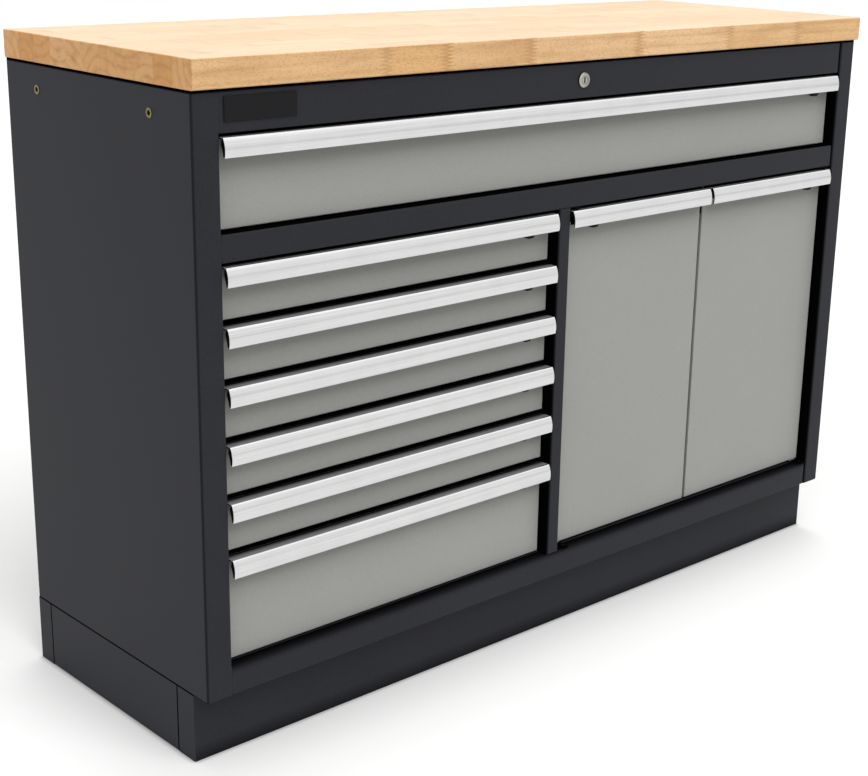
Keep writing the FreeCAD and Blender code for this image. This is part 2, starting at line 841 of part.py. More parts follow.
def door(front):
    """Door pan with its stiffener, corner notch, relieved closing edge and welded pivot arms."""
    edge, outward = hinge_side(front)
    x = pivot_x(front)
    pan = front_pan(front, panel_sheet, door_return)
    notch_ends = sorted((edge + outward * panel_sheet, edge - outward * door_notch_width))
    notch_bottom = front.top - door_notch_height
    behind = face_y + door_return
    notch = block(notch_ends[0], notch_ends[1], face_y - panel_sheet, behind + panel_sheet,
                  notch_bottom, front.top + panel_sheet)
    closing = front.left if outward > 0 else front.right
    relief_ends = sorted((closing - outward * panel_sheet, closing + outward * panel_sheet))
    relief = block(relief_ends[0], relief_ends[1], face_y + panel_sheet + bend_radius, behind,
                   front.top - door_edge_relief, front.top - panel_sheet)
    pan = pan.cut(notch).cut(relief)
    middle = (front.left + front.right) / 2
    half = door_stiffener_width / 2
    inner_y = face_y + panel_sheet
    crown_y = inner_y + door_stiffener_depth
    stiffener = folded(
        [(middle + half + edge_fold, inner_y + panel_sheet), (middle + half, inner_y + panel_sheet),
         (middle + half, crown_y), (middle - half, crown_y),
         (middle - half, inner_y + panel_sheet), (middle - half - edge_fold, inner_y + panel_sheet)],
        panel_sheet, hidden_bend, "XY", front.bottom + door_return, front.top - door_return)
    upper_top = front.top - upper_bracket_drop
    upper = pivot_arm(x, upper_top - door_bracket_sheet, upper_top)
    leg = block(x - door_bracket_eye, x + door_bracket_eye, inner_y, inner_y + door_bracket_sheet,
                notch_bottom - bracket_leg, upper_top)
    lower = pivot_arm(x, front.bottom - door_bracket_sheet, front.bottom)
    return fuse(pan, stiffener, upper, leg, lower)


def door_handle(front):
    """Handle of a door: its leg stops short of the pivot arm and its ledge has a hole for the pin."""
    edge, outward = hinge_side(front)
    bar = handle(front).cut(guide_slot(front, edge, outward, door_catch_inset(front)))
    ends = sorted((edge + outward * handle_wall, edge - outward * door_notch_width))
    leg_space = block(ends[0], ends[1], face_y - 2 * handle_wall, face_y + handle_wall,
                      front.top - handle_height, front.top - handle_wall)
    radius = pivot_pin_radius + pin_hole_clearance
    start = (pivot_x(front), frame_y + pivot_setback, front.top - 2 * handle_wall)
    return bar.cut(leg_space).cut(rod(radius, start, (0, 0, 1), 3 * handle_wall))


def door_catch(front):
    """Catch of a door, near its outer edge."""
    edge, outward = hinge_side(front)
    return catch(front, edge, outward, door_catch_inset(front))


def hinge_pivots():
    """Plates on the rails with the pins that the doors turn on, upper and lower for each door."""
    pivots = []
    y = frame_y + pivot_setback
    front_y = frame_y
    for front in door_fronts():
        x = pivot_x(front)
        ends = (x - pivot_plate_half_width, x + pivot_plate_half_width)
        lower_plate = block(*ends, front_y, front_y + pivot_plate_depth, floor_z, floor_z + pivot_plate)
        lower_pin_top = front.bottom + pivot_pin_tail
        lower_pin = rod(pivot_pin_radius, (x, y, floor_z), (0, 0, 1), lower_pin_top - floor_z)
        pivots.append(fuse(lower_plate, lower_pin))
        upper_plate = block(*ends, front_y, front_y + pivot_plate_depth, lower_top_z - pivot_plate, lower_top_z)
        arm_bottom = front.top - upper_bracket_drop - door_bracket_sheet
        pin_bottom = arm_bottom - pivot_pin_tail
        upper_pin = rod(pivot_pin_radius, (x, y, pin_bottom), (0, 0, 1), lower_top_z - pin_bottom)
        pivots.append(fuse(upper_plate, upper_pin))
    return group(pivots)


def shelf():
    """Loose shelf behind the doors, with its front and rear edges folded down."""
    front_y = frame_y + shelf_front_setback
    back_y = back_panel_y - shelf_rear_gap
    section = [
        (front_y, shelf_height - flange_width),
        (front_y, shelf_height),
        (back_y, shelf_height),
        (back_y, shelf_height - flange_width),
    ]
    left = centre_right + shelf_fit
    return folded(section[::-1], panel_sheet, hidden_bend, "YZ", left, web_x - shelf_fit)


def clip_places():
    """Depth and height of the shelf clips' tongues, the same in both walls."""
    front_y = frame_y + shelf_front_setback + clip_end_distance
    back_y = back_panel_y - shelf_rear_gap - clip_end_distance
    z = shelf_height - panel_sheet - clip_drop / 2
    return [(front_y, z), (back_y, z)]


def clip_slot(y, z, x0, x1):
    """Slot through a wall for a shelf clip's tongue."""
    half_slot = clip_tongue_width / 2 + clip_slot_fit
    half_height = clip_tongue_height / 2 + clip_slot_fit
    return block(x0, x1, y - half_slot, y + half_slot, z - half_height, z + half_height)


def shelf_clips():
    """Four plug-in clips that carry the shelf."""
    clips = []
    for y, z in clip_places():
        for wall_x, inward in ((centre_right, 1), (web_x, -1)):
            ends = sorted((wall_x, wall_x + inward * clip_reach))
            tab = block(ends[0], ends[1], y - clip_width / 2, y + clip_width / 2, z - clip_drop / 2, z + clip_drop / 2)
            ends = sorted((wall_x, wall_x - inward * clip_tongue_length))
            half = clip_tongue_width / 2
            tongue = block(*ends, y - half, y + half, z - clip_tongue_height / 2, z + clip_tongue_height / 2)
            clips.append(fuse(tab, tongue))
    return group(clips)


def threaded_inserts():
    """Flanged threaded inserts with hexagonal bodies, two in each side."""
    inserts = []
    z = carcass_top_z - insert_drop
    for y in insert_places():
        flange = rod(insert_flange_radius, (-half_width, y, z), (-1, 0, 0), insert_flange_height)
        body = hexagon("YZ", y, z, insert_body_radius, -half_width, insert_length - half_width)
        whole = insert_length + insert_flange_height
        bore = rod(insert_bore_radius, (-half_width - insert_flange_height, y, z), (1, 0, 0), whole)
        insert = fuse(flange, body).cut(bore)
        inserts.extend([insert, mirrored_in_x(insert)])
    return group(inserts)


def bearing_bracket():
    """Bracket under the rear flange, with the bore that the lock rod turns in at its far end."""
    half = bearing_ear_half_width
    top = carcass_top_z - panel_sheet
    ear = block(-half, half, ear_y, ear_y + bearing_ear_sheet, lock_z - bearing_ear_drop, top)
    foot = block(-half, half, ear_y - bearing_foot, ear_y, top - bearing_ear_sheet, top)
    bore = rod(lock_rod_radius + plug_running_fit, (0, ear_y, lock_z), (0, 1, 0), bearing_ear_sheet)
    return fuse(ear, foot).cut(bore)


def lock_fittings():
    """Lock housing in the top rail, the nut behind the sheet and the lock rod's rear bearing."""
    head_straight = lock_head_height - lock_head_bevel
    axis = FreeCAD.Vector(0, -1, 0)
    head = rod(lock_head_radius, (0, frame_y, lock_z), (0, -1, 0), head_straight)
    bevel = Part.makeCone(lock_head_radius, lock_head_radius - lock_head_bevel, lock_head_bevel,
                          FreeCAD.Vector(0, frame_y - head_straight, lock_z), axis)
    barrel = rod(lock_barrel_radius, (0, frame_y, lock_z), (0, 1, 0), lock_barrel_length)
    front = frame_y - lock_head_height
    recess = rod(lock_recess_radius, (0, front, lock_z), (0, 1, 0), lock_recess_depth)
    length = lock_barrel_length + lock_head_height
    bore = rod(plug_radius + plug_running_fit, (0, front, lock_z), (0, 1, 0), length)
    housing = fuse(head, bevel, barrel).cut(recess).cut(bore)
    nut_y = frame_y + panel_sheet
    nut = hexagon("XZ", 0.0, lock_z, lock_nut_radius, nut_y, nut_y + lock_nut_thickness)
    nut = nut.cut(rod(lock_barrel_radius, (0, frame_y, lock_z), (0, 1, 0), lock_barrel_length))
    return group([housing, nut, bearing_bracket()])


def lock_plug():
    """Turning plug of the lock, with its key slot."""
    front = frame_y - lock_head_height + lock_recess_depth
    tail = frame_y + lock_barrel_length + plug_tail
    plug = rod(plug_radius, (0, front, lock_z), (0, 1, 0), tail - front)
    half_slot = key_slot_width / 2
    half_height = key_slot_height / 2
    slot = block(-half_slot, half_slot, front, front + key_slot_depth, lock_z - half_height, lock_z + half_height)
    slot.rotate(FreeCAD.Vector(0, front, lock_z), FreeCAD.Vector(0, 1, 0), key_slot_tilt)
    return plug.cut(slot)


def lock_rod():
    """Rod from the plug to the rear, with the crank and crank pin that lift the lock bar."""
    start = frame_y + lock_barrel_length + plug_tail
    shaft = rod(lock_rod_radius, (0, start, lock_z), (0, 1, 0), crank_y + crank_plate - start)
    eye = rod(crank_eye_radius, (0, crank_y, lock_z), (0, 1, 0), crank_plate)
    web = block(-crank_radius, 0, crank_y, crank_y + crank_plate, lock_z - crank_eye_radius, lock_z + crank_eye_radius)
    far_eye = rod(crank_eye_radius, (-crank_radius, crank_y, lock_z), (0, 1, 0), crank_plate)
    pin_length = bar_y + bar_sheet + crank_play - crank_y
    pin = rod(crank_pin_radius, (-crank_radius, crank_y, lock_z), (0, 1, 0), pin_length)
    crank = fuse(eye, web, far_eye, pin)
    crank.rotate(FreeCAD.Vector(0, 0, lock_z), FreeCAD.Vector(0, 1, 0), -45.0)
    return fuse(shaft, crank)


def keyhole(z):
    """Keyhole for one stud: a square window at height z over the narrow slot used when locked."""
    depths = (bar_y - bar_sheet, bar_y + 2 * bar_sheet)
    wide = stud_head_radius + keyhole_clearance
    window = block(bar_x - wide, bar_x + wide, *depths, z - wide, z + wide)
    half = stud_shank_radius + keyhole_slot_clearance
    slot = block(bar_x - half, bar_x + half, *depths, z - bar_lift - half, z)
    return fuse(window, slot)


def lock_bar():
    """Flat bar behind the drawers, with a keyhole for each stud and an arm to the crank pin."""
    slot_z = lock_z - crank_drop
    play = crank_pin_radius + crank_play
    slot_left = -crank_radius - play
    slot_right = play - crank_drop
    strip_left = bar_x - bar_width / 2
    strip_right = bar_x + bar_width / 2
    top = slot_z + bar_arm_height / 2
    arm_bottom = slot_z - bar_arm_height / 2
    depths = (bar_y, bar_y + bar_sheet)
    strip = block(strip_left, strip_right, *depths, floor_z - bar_tail, top)
    arm = block(strip_left, slot_right + bar_arm_wall, *depths, arm_bottom, top)
    crank_slot = block(slot_left, slot_right, bar_y - bar_sheet, bar_y + 2 * bar_sheet, slot_z - play, slot_z + play)
    bar = fuse(strip, arm).cut(crank_slot)
    for drawer in drawers():
        bar = bar.cut(keyhole(drawer.front.bottom + tray_rise + stud_rise))
    return bar


def build():
    """Every node of the cabinet by name."""
    nodes = {
        "worktop": worktop(),
        "left_side_panel": left_side_panel(),
        "right_side_panel": right_side_panel(),
        "back_panel": back_panel(),
        "top_rail": top_rail(),
        "mid_panel": mid_panel(),
        "bottom_panel": bottom_panel(),
        "centre_partition": centre_partition(),
        "plinth_boards": plinth_boards(),
        "slide_posts": slide_posts(),
        "outer_slides": outer_slides(),
        "threaded_inserts": threaded_inserts(),
        "hinge_pivots": hinge_pivots(),
        "shelf": shelf(),
        "shelf_clips": shelf_clips(),
        "lock_fittings": lock_fittings(),
        "lock_plug": lock_plug(),
        "lock_rod": lock_rod(),
        "lock_bar": lock_bar(),
    }
    for drawer in drawers():
        name = drawer.front.name
        nodes[name] = drawer_body(drawer)
        nodes[f"{name}_handle"] = drawer_handle(drawer)
        nodes[f"{name}_catch"] = drawer_catch(drawer)
        nodes[f"{name}_inner_slides"] = group(slide_members(drawer, "inner"))
        nodes[f"{name}_middle_slides"] = group(slide_members(drawer, "middle"))
    for front in door_fronts():
        nodes[front.name] = door(front)
        nodes[f"{front.name}_handle"] = door_handle(front)
        nodes[f"{front.name}_catch"] = door_catch(front)
    return nodes


os.makedirs("parts", exist_ok=True)
for node, shape in build().items():
    shape.exportStep(f"parts/{node}.step")
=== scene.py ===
"""Workbench tool cabinet: finishes, fine pieces, studio and camera around the CAD frame.

Lengths are in metres. X runs to the right, Y into the depth and Z up, as in the CAD model.
"""

from __future__ import annotations

import json
import logging
import math
from dataclasses import dataclass, field
from enum import Enum, IntEnum

import bmesh
import bpy
from mathutils import Matrix, Vector

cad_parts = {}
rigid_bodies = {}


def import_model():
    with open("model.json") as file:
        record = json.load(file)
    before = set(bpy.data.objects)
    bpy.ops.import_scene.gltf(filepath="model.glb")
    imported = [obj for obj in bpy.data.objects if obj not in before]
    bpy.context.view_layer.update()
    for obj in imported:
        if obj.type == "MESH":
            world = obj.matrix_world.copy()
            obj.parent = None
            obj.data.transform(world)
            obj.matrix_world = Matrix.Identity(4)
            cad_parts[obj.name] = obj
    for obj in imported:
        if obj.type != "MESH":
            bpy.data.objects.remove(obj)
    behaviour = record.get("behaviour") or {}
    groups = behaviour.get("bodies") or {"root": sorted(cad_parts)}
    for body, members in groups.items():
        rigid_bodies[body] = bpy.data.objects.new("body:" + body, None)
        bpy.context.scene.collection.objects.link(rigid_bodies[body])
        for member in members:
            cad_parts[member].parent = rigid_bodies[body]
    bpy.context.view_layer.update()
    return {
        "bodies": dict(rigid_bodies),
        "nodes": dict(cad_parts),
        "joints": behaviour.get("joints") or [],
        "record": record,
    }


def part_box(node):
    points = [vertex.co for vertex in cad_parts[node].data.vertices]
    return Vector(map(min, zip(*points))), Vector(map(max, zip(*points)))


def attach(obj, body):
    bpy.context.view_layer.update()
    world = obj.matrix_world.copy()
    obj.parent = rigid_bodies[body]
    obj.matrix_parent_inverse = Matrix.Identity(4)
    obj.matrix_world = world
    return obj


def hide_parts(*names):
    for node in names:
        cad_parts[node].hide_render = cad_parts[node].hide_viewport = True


LOG = logging.getLogger("tool_cabinet")
MM = 0.001

# Places in the CAD frame that the finishes go by.
FRAME_FACE_Y = -224.5 * MM
FRONT_FACE_Y = -206.5 * MM
CARCASS_TOP_Z = 913 * MM
SIDE_FACE_X = 680 * MM
PLINTH_TOP_Z = 102 * MM
PLINTH_JOINTS_Y = (-149.5 * MM, 195 * MM)
SILL_Z = 143.5 * MM
OVER_SILL_Z = SILL_Z + 0.3 * MM
OPENING_HALF_X = 639.8 * MM
RETURNS_X = (-636.5 * MM, 660 * MM)
CENTRE_STILE_X = -41 * MM
CENTRE_STILE_TOP_Z = 696.5 * MM
SIDE_STILE_X = 640 * MM
LOWEST_FOLD_Z = 290 * MM

# Types for the annotations.
Tree = bpy.types.NodeTree
Node = bpy.types.Node
Socket = bpy.types.NodeSocket
Material = bpy.types.Material
Object = bpy.types.Object
Shape = bmesh.types.BMesh
Value = Node | Socket | float | tuple
Colour = tuple[float, float, float, float]
Outline = list[tuple[float, float]]


class DarkPart(Enum):
    """Parts of a coated sheet that get painted shade, nearly black, where shade falls in gaps and recesses.
    """

    NONE = "none"
    RETURNS = "returns"
    ARMS = "arms"
    LEDGE = "ledge"


class GripFace(IntEnum):
    """Faces of a grip by the number of their material, after the blade's 0."""

    # The hollow and the ledge get painted shade, the lit leg painted light.
    HOLLOW = 1
    LIT_LEG = 2
    SAWN_END = 3
    LEDGE = 4


def linear(hex_colour: str) -> Colour:
    """Turn an sRGB hex colour into linear RGBA.

    Args:
        hex_colour: Six hex digits after a hash sign.

    Returns:
        Linear red, green, blue and an alpha of 1.
    """
    channels = []
    for start in (1, 3, 5):
        value = int(hex_colour[start:start + 2], 16) / 255.0
        channels.append(value / 12.92 if value <= 0.04045 else ((value + 0.055) / 1.055) ** 2.4)
    return (*channels, 1.0)


def grey(level: float) -> Colour:
    """Linear RGBA of a neutral level."""
    return (level, level, level, 1.0)


def add_node(tree: Tree, kind: str, inputs: dict[str | int, Value] | tuple[Value, ...] = (),
             **settings: object) -> Node:
    """Add a shader node with its settings, values and links.

    Args:
        tree: Node tree that gets the node.
        kind: Blender's name of the node type after "ShaderNode".
        inputs: What each input gets, by name or number or in turn; a node gives its first output.
        settings: Attributes of the node itself.

    Returns:
        The new node.
    """
    node = tree.nodes.new("ShaderNode" + kind)
    for name, value in settings.items():
        setattr(node, name, value)
    for name, value in (inputs.items() if isinstance(inputs, dict) else enumerate(inputs)):
        source = value.outputs[0] if isinstance(value, Node) else value
        if isinstance(source, Socket):
            tree.links.new(source, node.inputs[name])
        else:
            node.inputs[name].default_value = source
    return node


def combine(tree: Tree, operation: str, first: Value, *others: Value) -> Node:
    """Run one arithmetic operation over two or more values, such as their difference or their product.

    Args:
        tree: Node tree that gets the nodes.
        operation: Blender's name of the operation.
        first: First value.
        others: The values that follow.

    Returns:
        The last node, which holds the result.
    """
    for other in others:
        first = add_node(tree, "Math", (first, other), operation=operation)
    return first


def set_ramp(node: Node, stops: list[tuple[float, Colour]], interpolation: str = "LINEAR") -> Node:
    """Give a colour ramp its stops.

    Args:
        node: Ramp to change.
        stops: Position and linear colour of each stop, in rising order.
        interpolation: Blender's name for the way between the stops.

    Returns:
        The same node.
    """
    ramp = node.color_ramp
    ramp.interpolation = interpolation
    while len(ramp.elements) > 1:
        ramp.elements.remove(ramp.elements[-1])
    ramp.elements[0].position, ramp.elements[0].color = stops[0]
    for position, colour in stops[1:]:
        ramp.elements.new(position).color = colour
    return node


def placed(name: str, data: bpy.types.ID) -> Object:
    """Put a new object of a mesh, a camera or a lamp in the scene."""
    thing = bpy.data.objects.new(name, data)
    bpy.context.scene.collection.objects.link(thing)
    return thing


@dataclass(frozen=True)
class Finish:
    """A surface finish, built once as a material."""

    name: str

    def build(self) -> Material:
        """Build the material around a Principled shader.

        Returns:
            The material.
        """
        material = bpy.data.materials.new(self.name)
        material.use_nodes = True
        tree = material.node_tree
        tree.nodes.clear()
        coords = add_node(tree, "TexCoord").outputs["Object"]
        shader = add_node(tree, "BsdfPrincipled", self.look(tree, coords))
        add_node(tree, "OutputMaterial", {"Surface": self.cover(tree, coords, shader)})
        return material

    def look(self, tree: Tree, coords: Socket) -> dict[str, Value]:
        """Work out the shader's colour, roughness and relief.

        Args:
            tree: Node tree of the material.
            coords: Object coordinates.

        Returns:
            What the shader's inputs get, by name.
        """
        raise NotImplementedError

    def cover(self, tree: Tree, coords: Socket, shader: Node) -> Node:
        """Surface with whatever lies over the shader, here nothing."""
        return shader


@dataclass(frozen=True)
class DarkMask:
    """Painted shade on a coated sheet, as shares from 0 to 1 over its object coordinates."""

    tree: Tree
    x: Socket
    y: Socket
    z: Socket
    across: Node
    # Shade on the returns: its start behind the frame's face, its rise, its depth and its fall.
    return_start: float = 1.2 * MM
    return_rise: float = 3 * MM
    return_depth: float = 40 * MM
    return_fall: float = 20 * MM
    # Painted shadow line under the worktop, below the carcass's top.
    top_line: tuple[float, float] = (5.5 * MM, 3.5 * MM)
    # Painted shade on the folds: the rise of their normal, and their depth behind the fronts' face.
    fold_rise: tuple[float, float] = (0.5, 0.9)
    fold_depth: float = 22 * MM
    arm_gap: float = 0.5 * MM
    ledge_gaps: tuple[float, float] = (13 * MM, 3 * MM)
    sill_reach: float = 30 * MM
    sill_levels: tuple[tuple[float, float], ...] = (
        (0.1, 1.0), (0.35, 0.87), (0.55, 0.78), (0.7, 0.6), (0.78, 0.28), (0.9, 0.12), (1.0, 0.0))
    # Shade along the stiles' edges, and its margin on their left.
    centre_fade: float = 5 * MM
    side_fade: float = 8 * MM
    edge_margin: float = 3 * MM
    # Painted shade on the front corners' folds, in the plinth's seams and along the plinth's foot.
    corner_fade: tuple[float, float] = (1.5 * MM, 3.5 * MM)
    corner_share: float = 0.5
    side_skin: float = 1.5 * MM
    seam_drop: float = 0.6 * MM
    seam_half: float = 1.3 * MM
    joint_half: float = 1.4 * MM
    foot_height: float = 24 * MM
    foot_share: float = 0.6

    @classmethod
    def over(cls, tree: Tree, coords: Socket) -> DarkMask:
        """Make the mask over a material's object coordinates."""
        x, y, z = add_node(tree, "SeparateXYZ", (coords,)).outputs
        return cls(tree, x, y, z, add_node(tree, "Math", (x,), operation="ABSOLUTE"))

    def share(self, part: DarkPart) -> Node:
        """Share of painted shade for one dark part."""
        return {DarkPart.RETURNS: self.returns, DarkPart.ARMS: self.arms, DarkPart.LEDGE: self.ledge}[part]()

    def returns(self) -> Node:
        """Painted shade inside the frame's openings, with the frame's other painted shade and shadow lines.

        Returns:
            1 on the returns and 0 on open faces.
        """
        tree, start, end = self.tree, FRAME_FACE_Y + self.return_start, FRAME_FACE_Y + self.return_depth
        inside = combine(
            tree, "MULTIPLY",
            add_node(tree, "MapRange", (self.y, start, start + self.return_rise)),
            add_node(tree, "MapRange", (self.y, end, end + self.return_fall, 1.0, 0.0)),
            combine(tree, "LESS_THAN", self.x, RETURNS_X[1]),
            combine(tree, "GREATER_THAN", self.x, RETURNS_X[0]),
            combine(tree, "GREATER_THAN", self.z, OVER_SILL_Z))
        # Painted shadow line under the worktop's overhang.
        under_top = add_node(tree, "MapRange", (self.z, *(CARCASS_TOP_Z - drop for drop in self.top_line)))
        return combine(tree, "MAXIMUM", inside, under_top, self.corners(), self.plinth_seams(), self.sill(),
                       self.stile_edges(), self.foot())

    def arms(self) -> Node:
        """Painted shade on the pivot arms and on the folds over the fronts' top edges, which sit in dark
        gaps.

        Returns:
            1 on the arms and the folds, 0 on the faces.
        """
        tree = self.tree
        normal = add_node(tree, "NewGeometry").outputs["Normal"]
        rise = add_node(tree, "SeparateXYZ", (normal,)).outputs["Z"]
        folds = combine(
            tree, "MULTIPLY",
            add_node(tree, "MapRange", (rise, *self.fold_rise)),
            combine(tree, "LESS_THAN", self.y, FRONT_FACE_Y + self.fold_depth),
            combine(tree, "GREATER_THAN", self.z, LOWEST_FOLD_Z))
        arms = combine(tree, "LESS_THAN", self.y, FRONT_FACE_Y - self.arm_gap)
        return combine(tree, "MAXIMUM", arms, folds)

    def ledge(self) -> Node:
        """Painted shade at the back of a grip's ledge, 1 against the front and 0 towards the brow."""
        return add_node(self.tree, "MapRange", (self.y, *(FRONT_FACE_Y - gap for gap in self.ledge_gaps)))

    def sill(self) -> Node:
        """Painted shade that fades from the fronts' lower edge over the sill onto the bottom rail.

        Returns:
            1 under the fronts, falling to 0 on the rail's face.
        """
        tree = self.tree
        forward = combine(tree, "SUBTRACT", FRONT_FACE_Y, self.y)
        down = combine(tree, "SUBTRACT", SILL_Z, self.z)
        along = combine(tree, "ADD", forward, down)
        faded = set_ramp(
            add_node(tree, "ValToRGB", (add_node(tree, "MapRange", (along, 0.0, self.sill_reach)),)),
            [(at, grey(level)) for at, level in self.sill_levels])
        return combine(
            tree, "MULTIPLY", faded, self.before_fronts(),
            combine(tree, "LESS_THAN", self.z, OVER_SILL_Z),
            combine(tree, "LESS_THAN", self.across, OPENING_HALF_X))

    def before_fronts(self) -> Node:
        """1 before the plane of the fronts and 0 behind it."""
        return combine(self.tree, "LESS_THAN", self.y, FRONT_FACE_Y)

    def stile_edges(self) -> Node:
        """Painted shade on the stiles along the right-hand side of each opening.

        Returns:
            1 at the stiles' edges, falling to 0 on their faces.
        """
        tree = self.tree
        middle_z, half = (CENTRE_STILE_TOP_Z + SILL_Z) / 2, (CENTRE_STILE_TOP_Z - SILL_Z) / 2
        beside_drawers = add_node(tree, "Math", (self.z, middle_z, half), operation="COMPARE")
        centre = combine(tree, "MULTIPLY", self.edge_fade(CENTRE_STILE_X, self.centre_fade), beside_drawers)
        edges = combine(tree, "MAXIMUM", centre, self.edge_fade(SIDE_STILE_X, self.side_fade))
        return combine(tree, "MULTIPLY", edges, self.before_fronts())

    def edge_fade(self, edge_x: float, width: float) -> Node:
        """Shade beside one upright edge.

        Args:
            edge_x: Place of the edge.
            width: Distance over which the shade fades to the right.

        Returns:
            1 at the edge, falling to 0 on its right, and 0 from the margin on its left.
        """
        past = combine(self.tree, "GREATER_THAN", self.x, edge_x - self.edge_margin)
        fade = add_node(self.tree, "MapRange", (self.x, edge_x, edge_x + width, 1.0, 0.0))
        return combine(self.tree, "MULTIPLY", past, fade)

    def corners(self) -> Node:
        """Painted shade along the folds at the cabinet's front corners.

        Returns:
            The corners' share on the folds and 0 away from them.
        """
        tree = self.tree
        inward = combine(tree, "SUBTRACT", SIDE_FACE_X, self.across)
        behind = combine(tree, "SUBTRACT", self.y, FRAME_FACE_Y)
        away = combine(tree, "MAXIMUM", inward, behind)
        return add_node(tree, "MapRange", (away, *self.corner_fade, self.corner_share, 0.0))

    def plinth_seams(self) -> Node:
        """Painted shade in the plinth's seams on the cabinet's sides.

        Returns:
            1 in the seams and 0 elsewhere.
        """
        tree = self.tree
        outside = combine(tree, "GREATER_THAN", self.across, SIDE_FACE_X - self.side_skin)
        below = combine(tree, "LESS_THAN", self.z, PLINTH_TOP_Z)
        top_seam = add_node(tree, "Math", (self.z, PLINTH_TOP_Z - self.seam_drop, self.seam_half),
                            operation="COMPARE")
        joints = (add_node(tree, "Math", (self.y, joint_y, self.joint_half), operation="COMPARE")
                  for joint_y in PLINTH_JOINTS_Y)
        low_joints = (combine(tree, "MULTIPLY", joint, below) for joint in joints)
        return combine(tree, "MULTIPLY", combine(tree, "MAXIMUM", top_seam, *low_joints), outside)

    def foot(self) -> Node:
        """Painted shade along the foot of the plinth's front and rear, where it meets the floor.

        Returns:
            The foot's share at the floor, falling to 0 at its height.
        """
        inside = combine(self.tree, "LESS_THAN", self.across, SIDE_FACE_X - self.side_skin)
        fade = add_node(self.tree, "MapRange", (self.z, 0.0, self.foot_height, self.foot_share, 0.0))
        return combine(self.tree, "MULTIPLY", inside, fade)


@dataclass(frozen=True)
class PowderCoat(Finish):
    """Polyester powder coat on steel: baked grains give an even, fine-pebbled satin skin."""

    colour: str
    shade: str
    grain_mm: float
    relief: float
    roughness: float
    specular: float
    dark_part: DarkPart = DarkPart.NONE
    # Clouds per metre, of 143 mm each.
    cloud_scale: float = 7.0

    def look(self, tree: Tree, coords: Socket) -> dict[str, Value]:
        """Pebbled grain under a broad cloudiness.

        Args:
            tree: Node tree of the material.
            coords: Object coordinates.

        Returns:
            What the shader's inputs get, by name.
        """
        grain = add_node(tree, "TexNoise", {
            "Vector": coords, "Scale": 1.0 / (self.grain_mm * MM), "Detail": 2.0, "Roughness": 0.55})
        cloud = add_node(tree, "TexNoise", {"Vector": coords, "Scale": self.cloud_scale, "Detail": 3.0})
        fine = combine(tree, "MULTIPLY", grain, 0.7)
        total = add_node(tree, "Math", (cloud, 0.3, fine), operation="MULTIPLY_ADD")
        return {
            "Base Color": set_ramp(add_node(tree, "ValToRGB", (total,)),
                                   [(0.35, linear(self.shade)), (0.65, linear(self.colour))]),
            "Roughness": add_node(tree, "MapRange", {
                "Value": cloud, "To Min": self.roughness - 0.04, "To Max": self.roughness + 0.04}),
            "Normal": add_node(tree, "Bump", {
                "Height": grain, "Strength": self.relief, "Distance": 0.2 * MM}),
            "Specular IOR Level": self.specular,
        }

    def cover(self, tree: Tree, coords: Socket, shader: Node) -> Node:
        """Lay painted shade, nearly black, over the coat's dark part.

        Args:
            tree: Node tree of the material.
            coords: Object coordinates.
            shader: The coat's shader.

        Returns:
            The surface.
        """
        if self.dark_part is DarkPart.NONE:
            return shader
        # Painted shade: a nearly black surface that the mask mixes over the coat.
        bare = add_node(tree, "BsdfDiffuse", {"Color": linear("#050506")})
        return add_node(tree, "MixShader", (DarkMask.over(tree, coords).share(self.dark_part), shader, bare))


@dataclass(frozen=True)
class DrawnMetal(Finish):
    """Metal with a grain along X from rolling or extruding, such as anodised or zinc-plated stock."""

    colour: str
    shade: str
    streak_mm: float
    relief: float
    roughness: float
    stretch: float = 0.003
    # Clouds per metre, of 40 mm each.
    cloud_scale: float = 25.0

    def look(self, tree: Tree, coords: Socket) -> dict[str, Value]:
        """Long fine streaks under a faint cloudiness.

        Args:
            tree: Node tree of the material.
            coords: Object coordinates.

        Returns:
            What the shader's inputs get, by name.
        """
        stretched = add_node(tree, "Mapping", {"Vector": coords, "Scale": (self.stretch, 1.0, 1.0)})
        streaks = add_node(tree, "TexNoise", {
            "Vector": stretched, "Scale": 1.0 / (self.streak_mm * MM), "Detail": 3.0})
        cloud = add_node(tree, "TexNoise", {"Vector": coords, "Scale": self.cloud_scale, "Detail": 2.0})
        total = add_node(tree, "Math", (cloud, 0.3, streaks), operation="MULTIPLY_ADD")
        return {
            "Base Color": set_ramp(add_node(tree, "ValToRGB", (total,)),
                                   [(0.45, linear(self.shade)), (0.8, linear(self.colour))]),
            "Roughness": add_node(tree, "MapRange", {
                "Value": streaks, "To Min": self.roughness - 0.06, "To Max": self.roughness + 0.06}),
            "Normal": add_node(tree, "Bump", {
                "Height": streaks, "Strength": self.relief, "Distance": 0.05 * MM}),
            "Metallic": 1.0,
        }


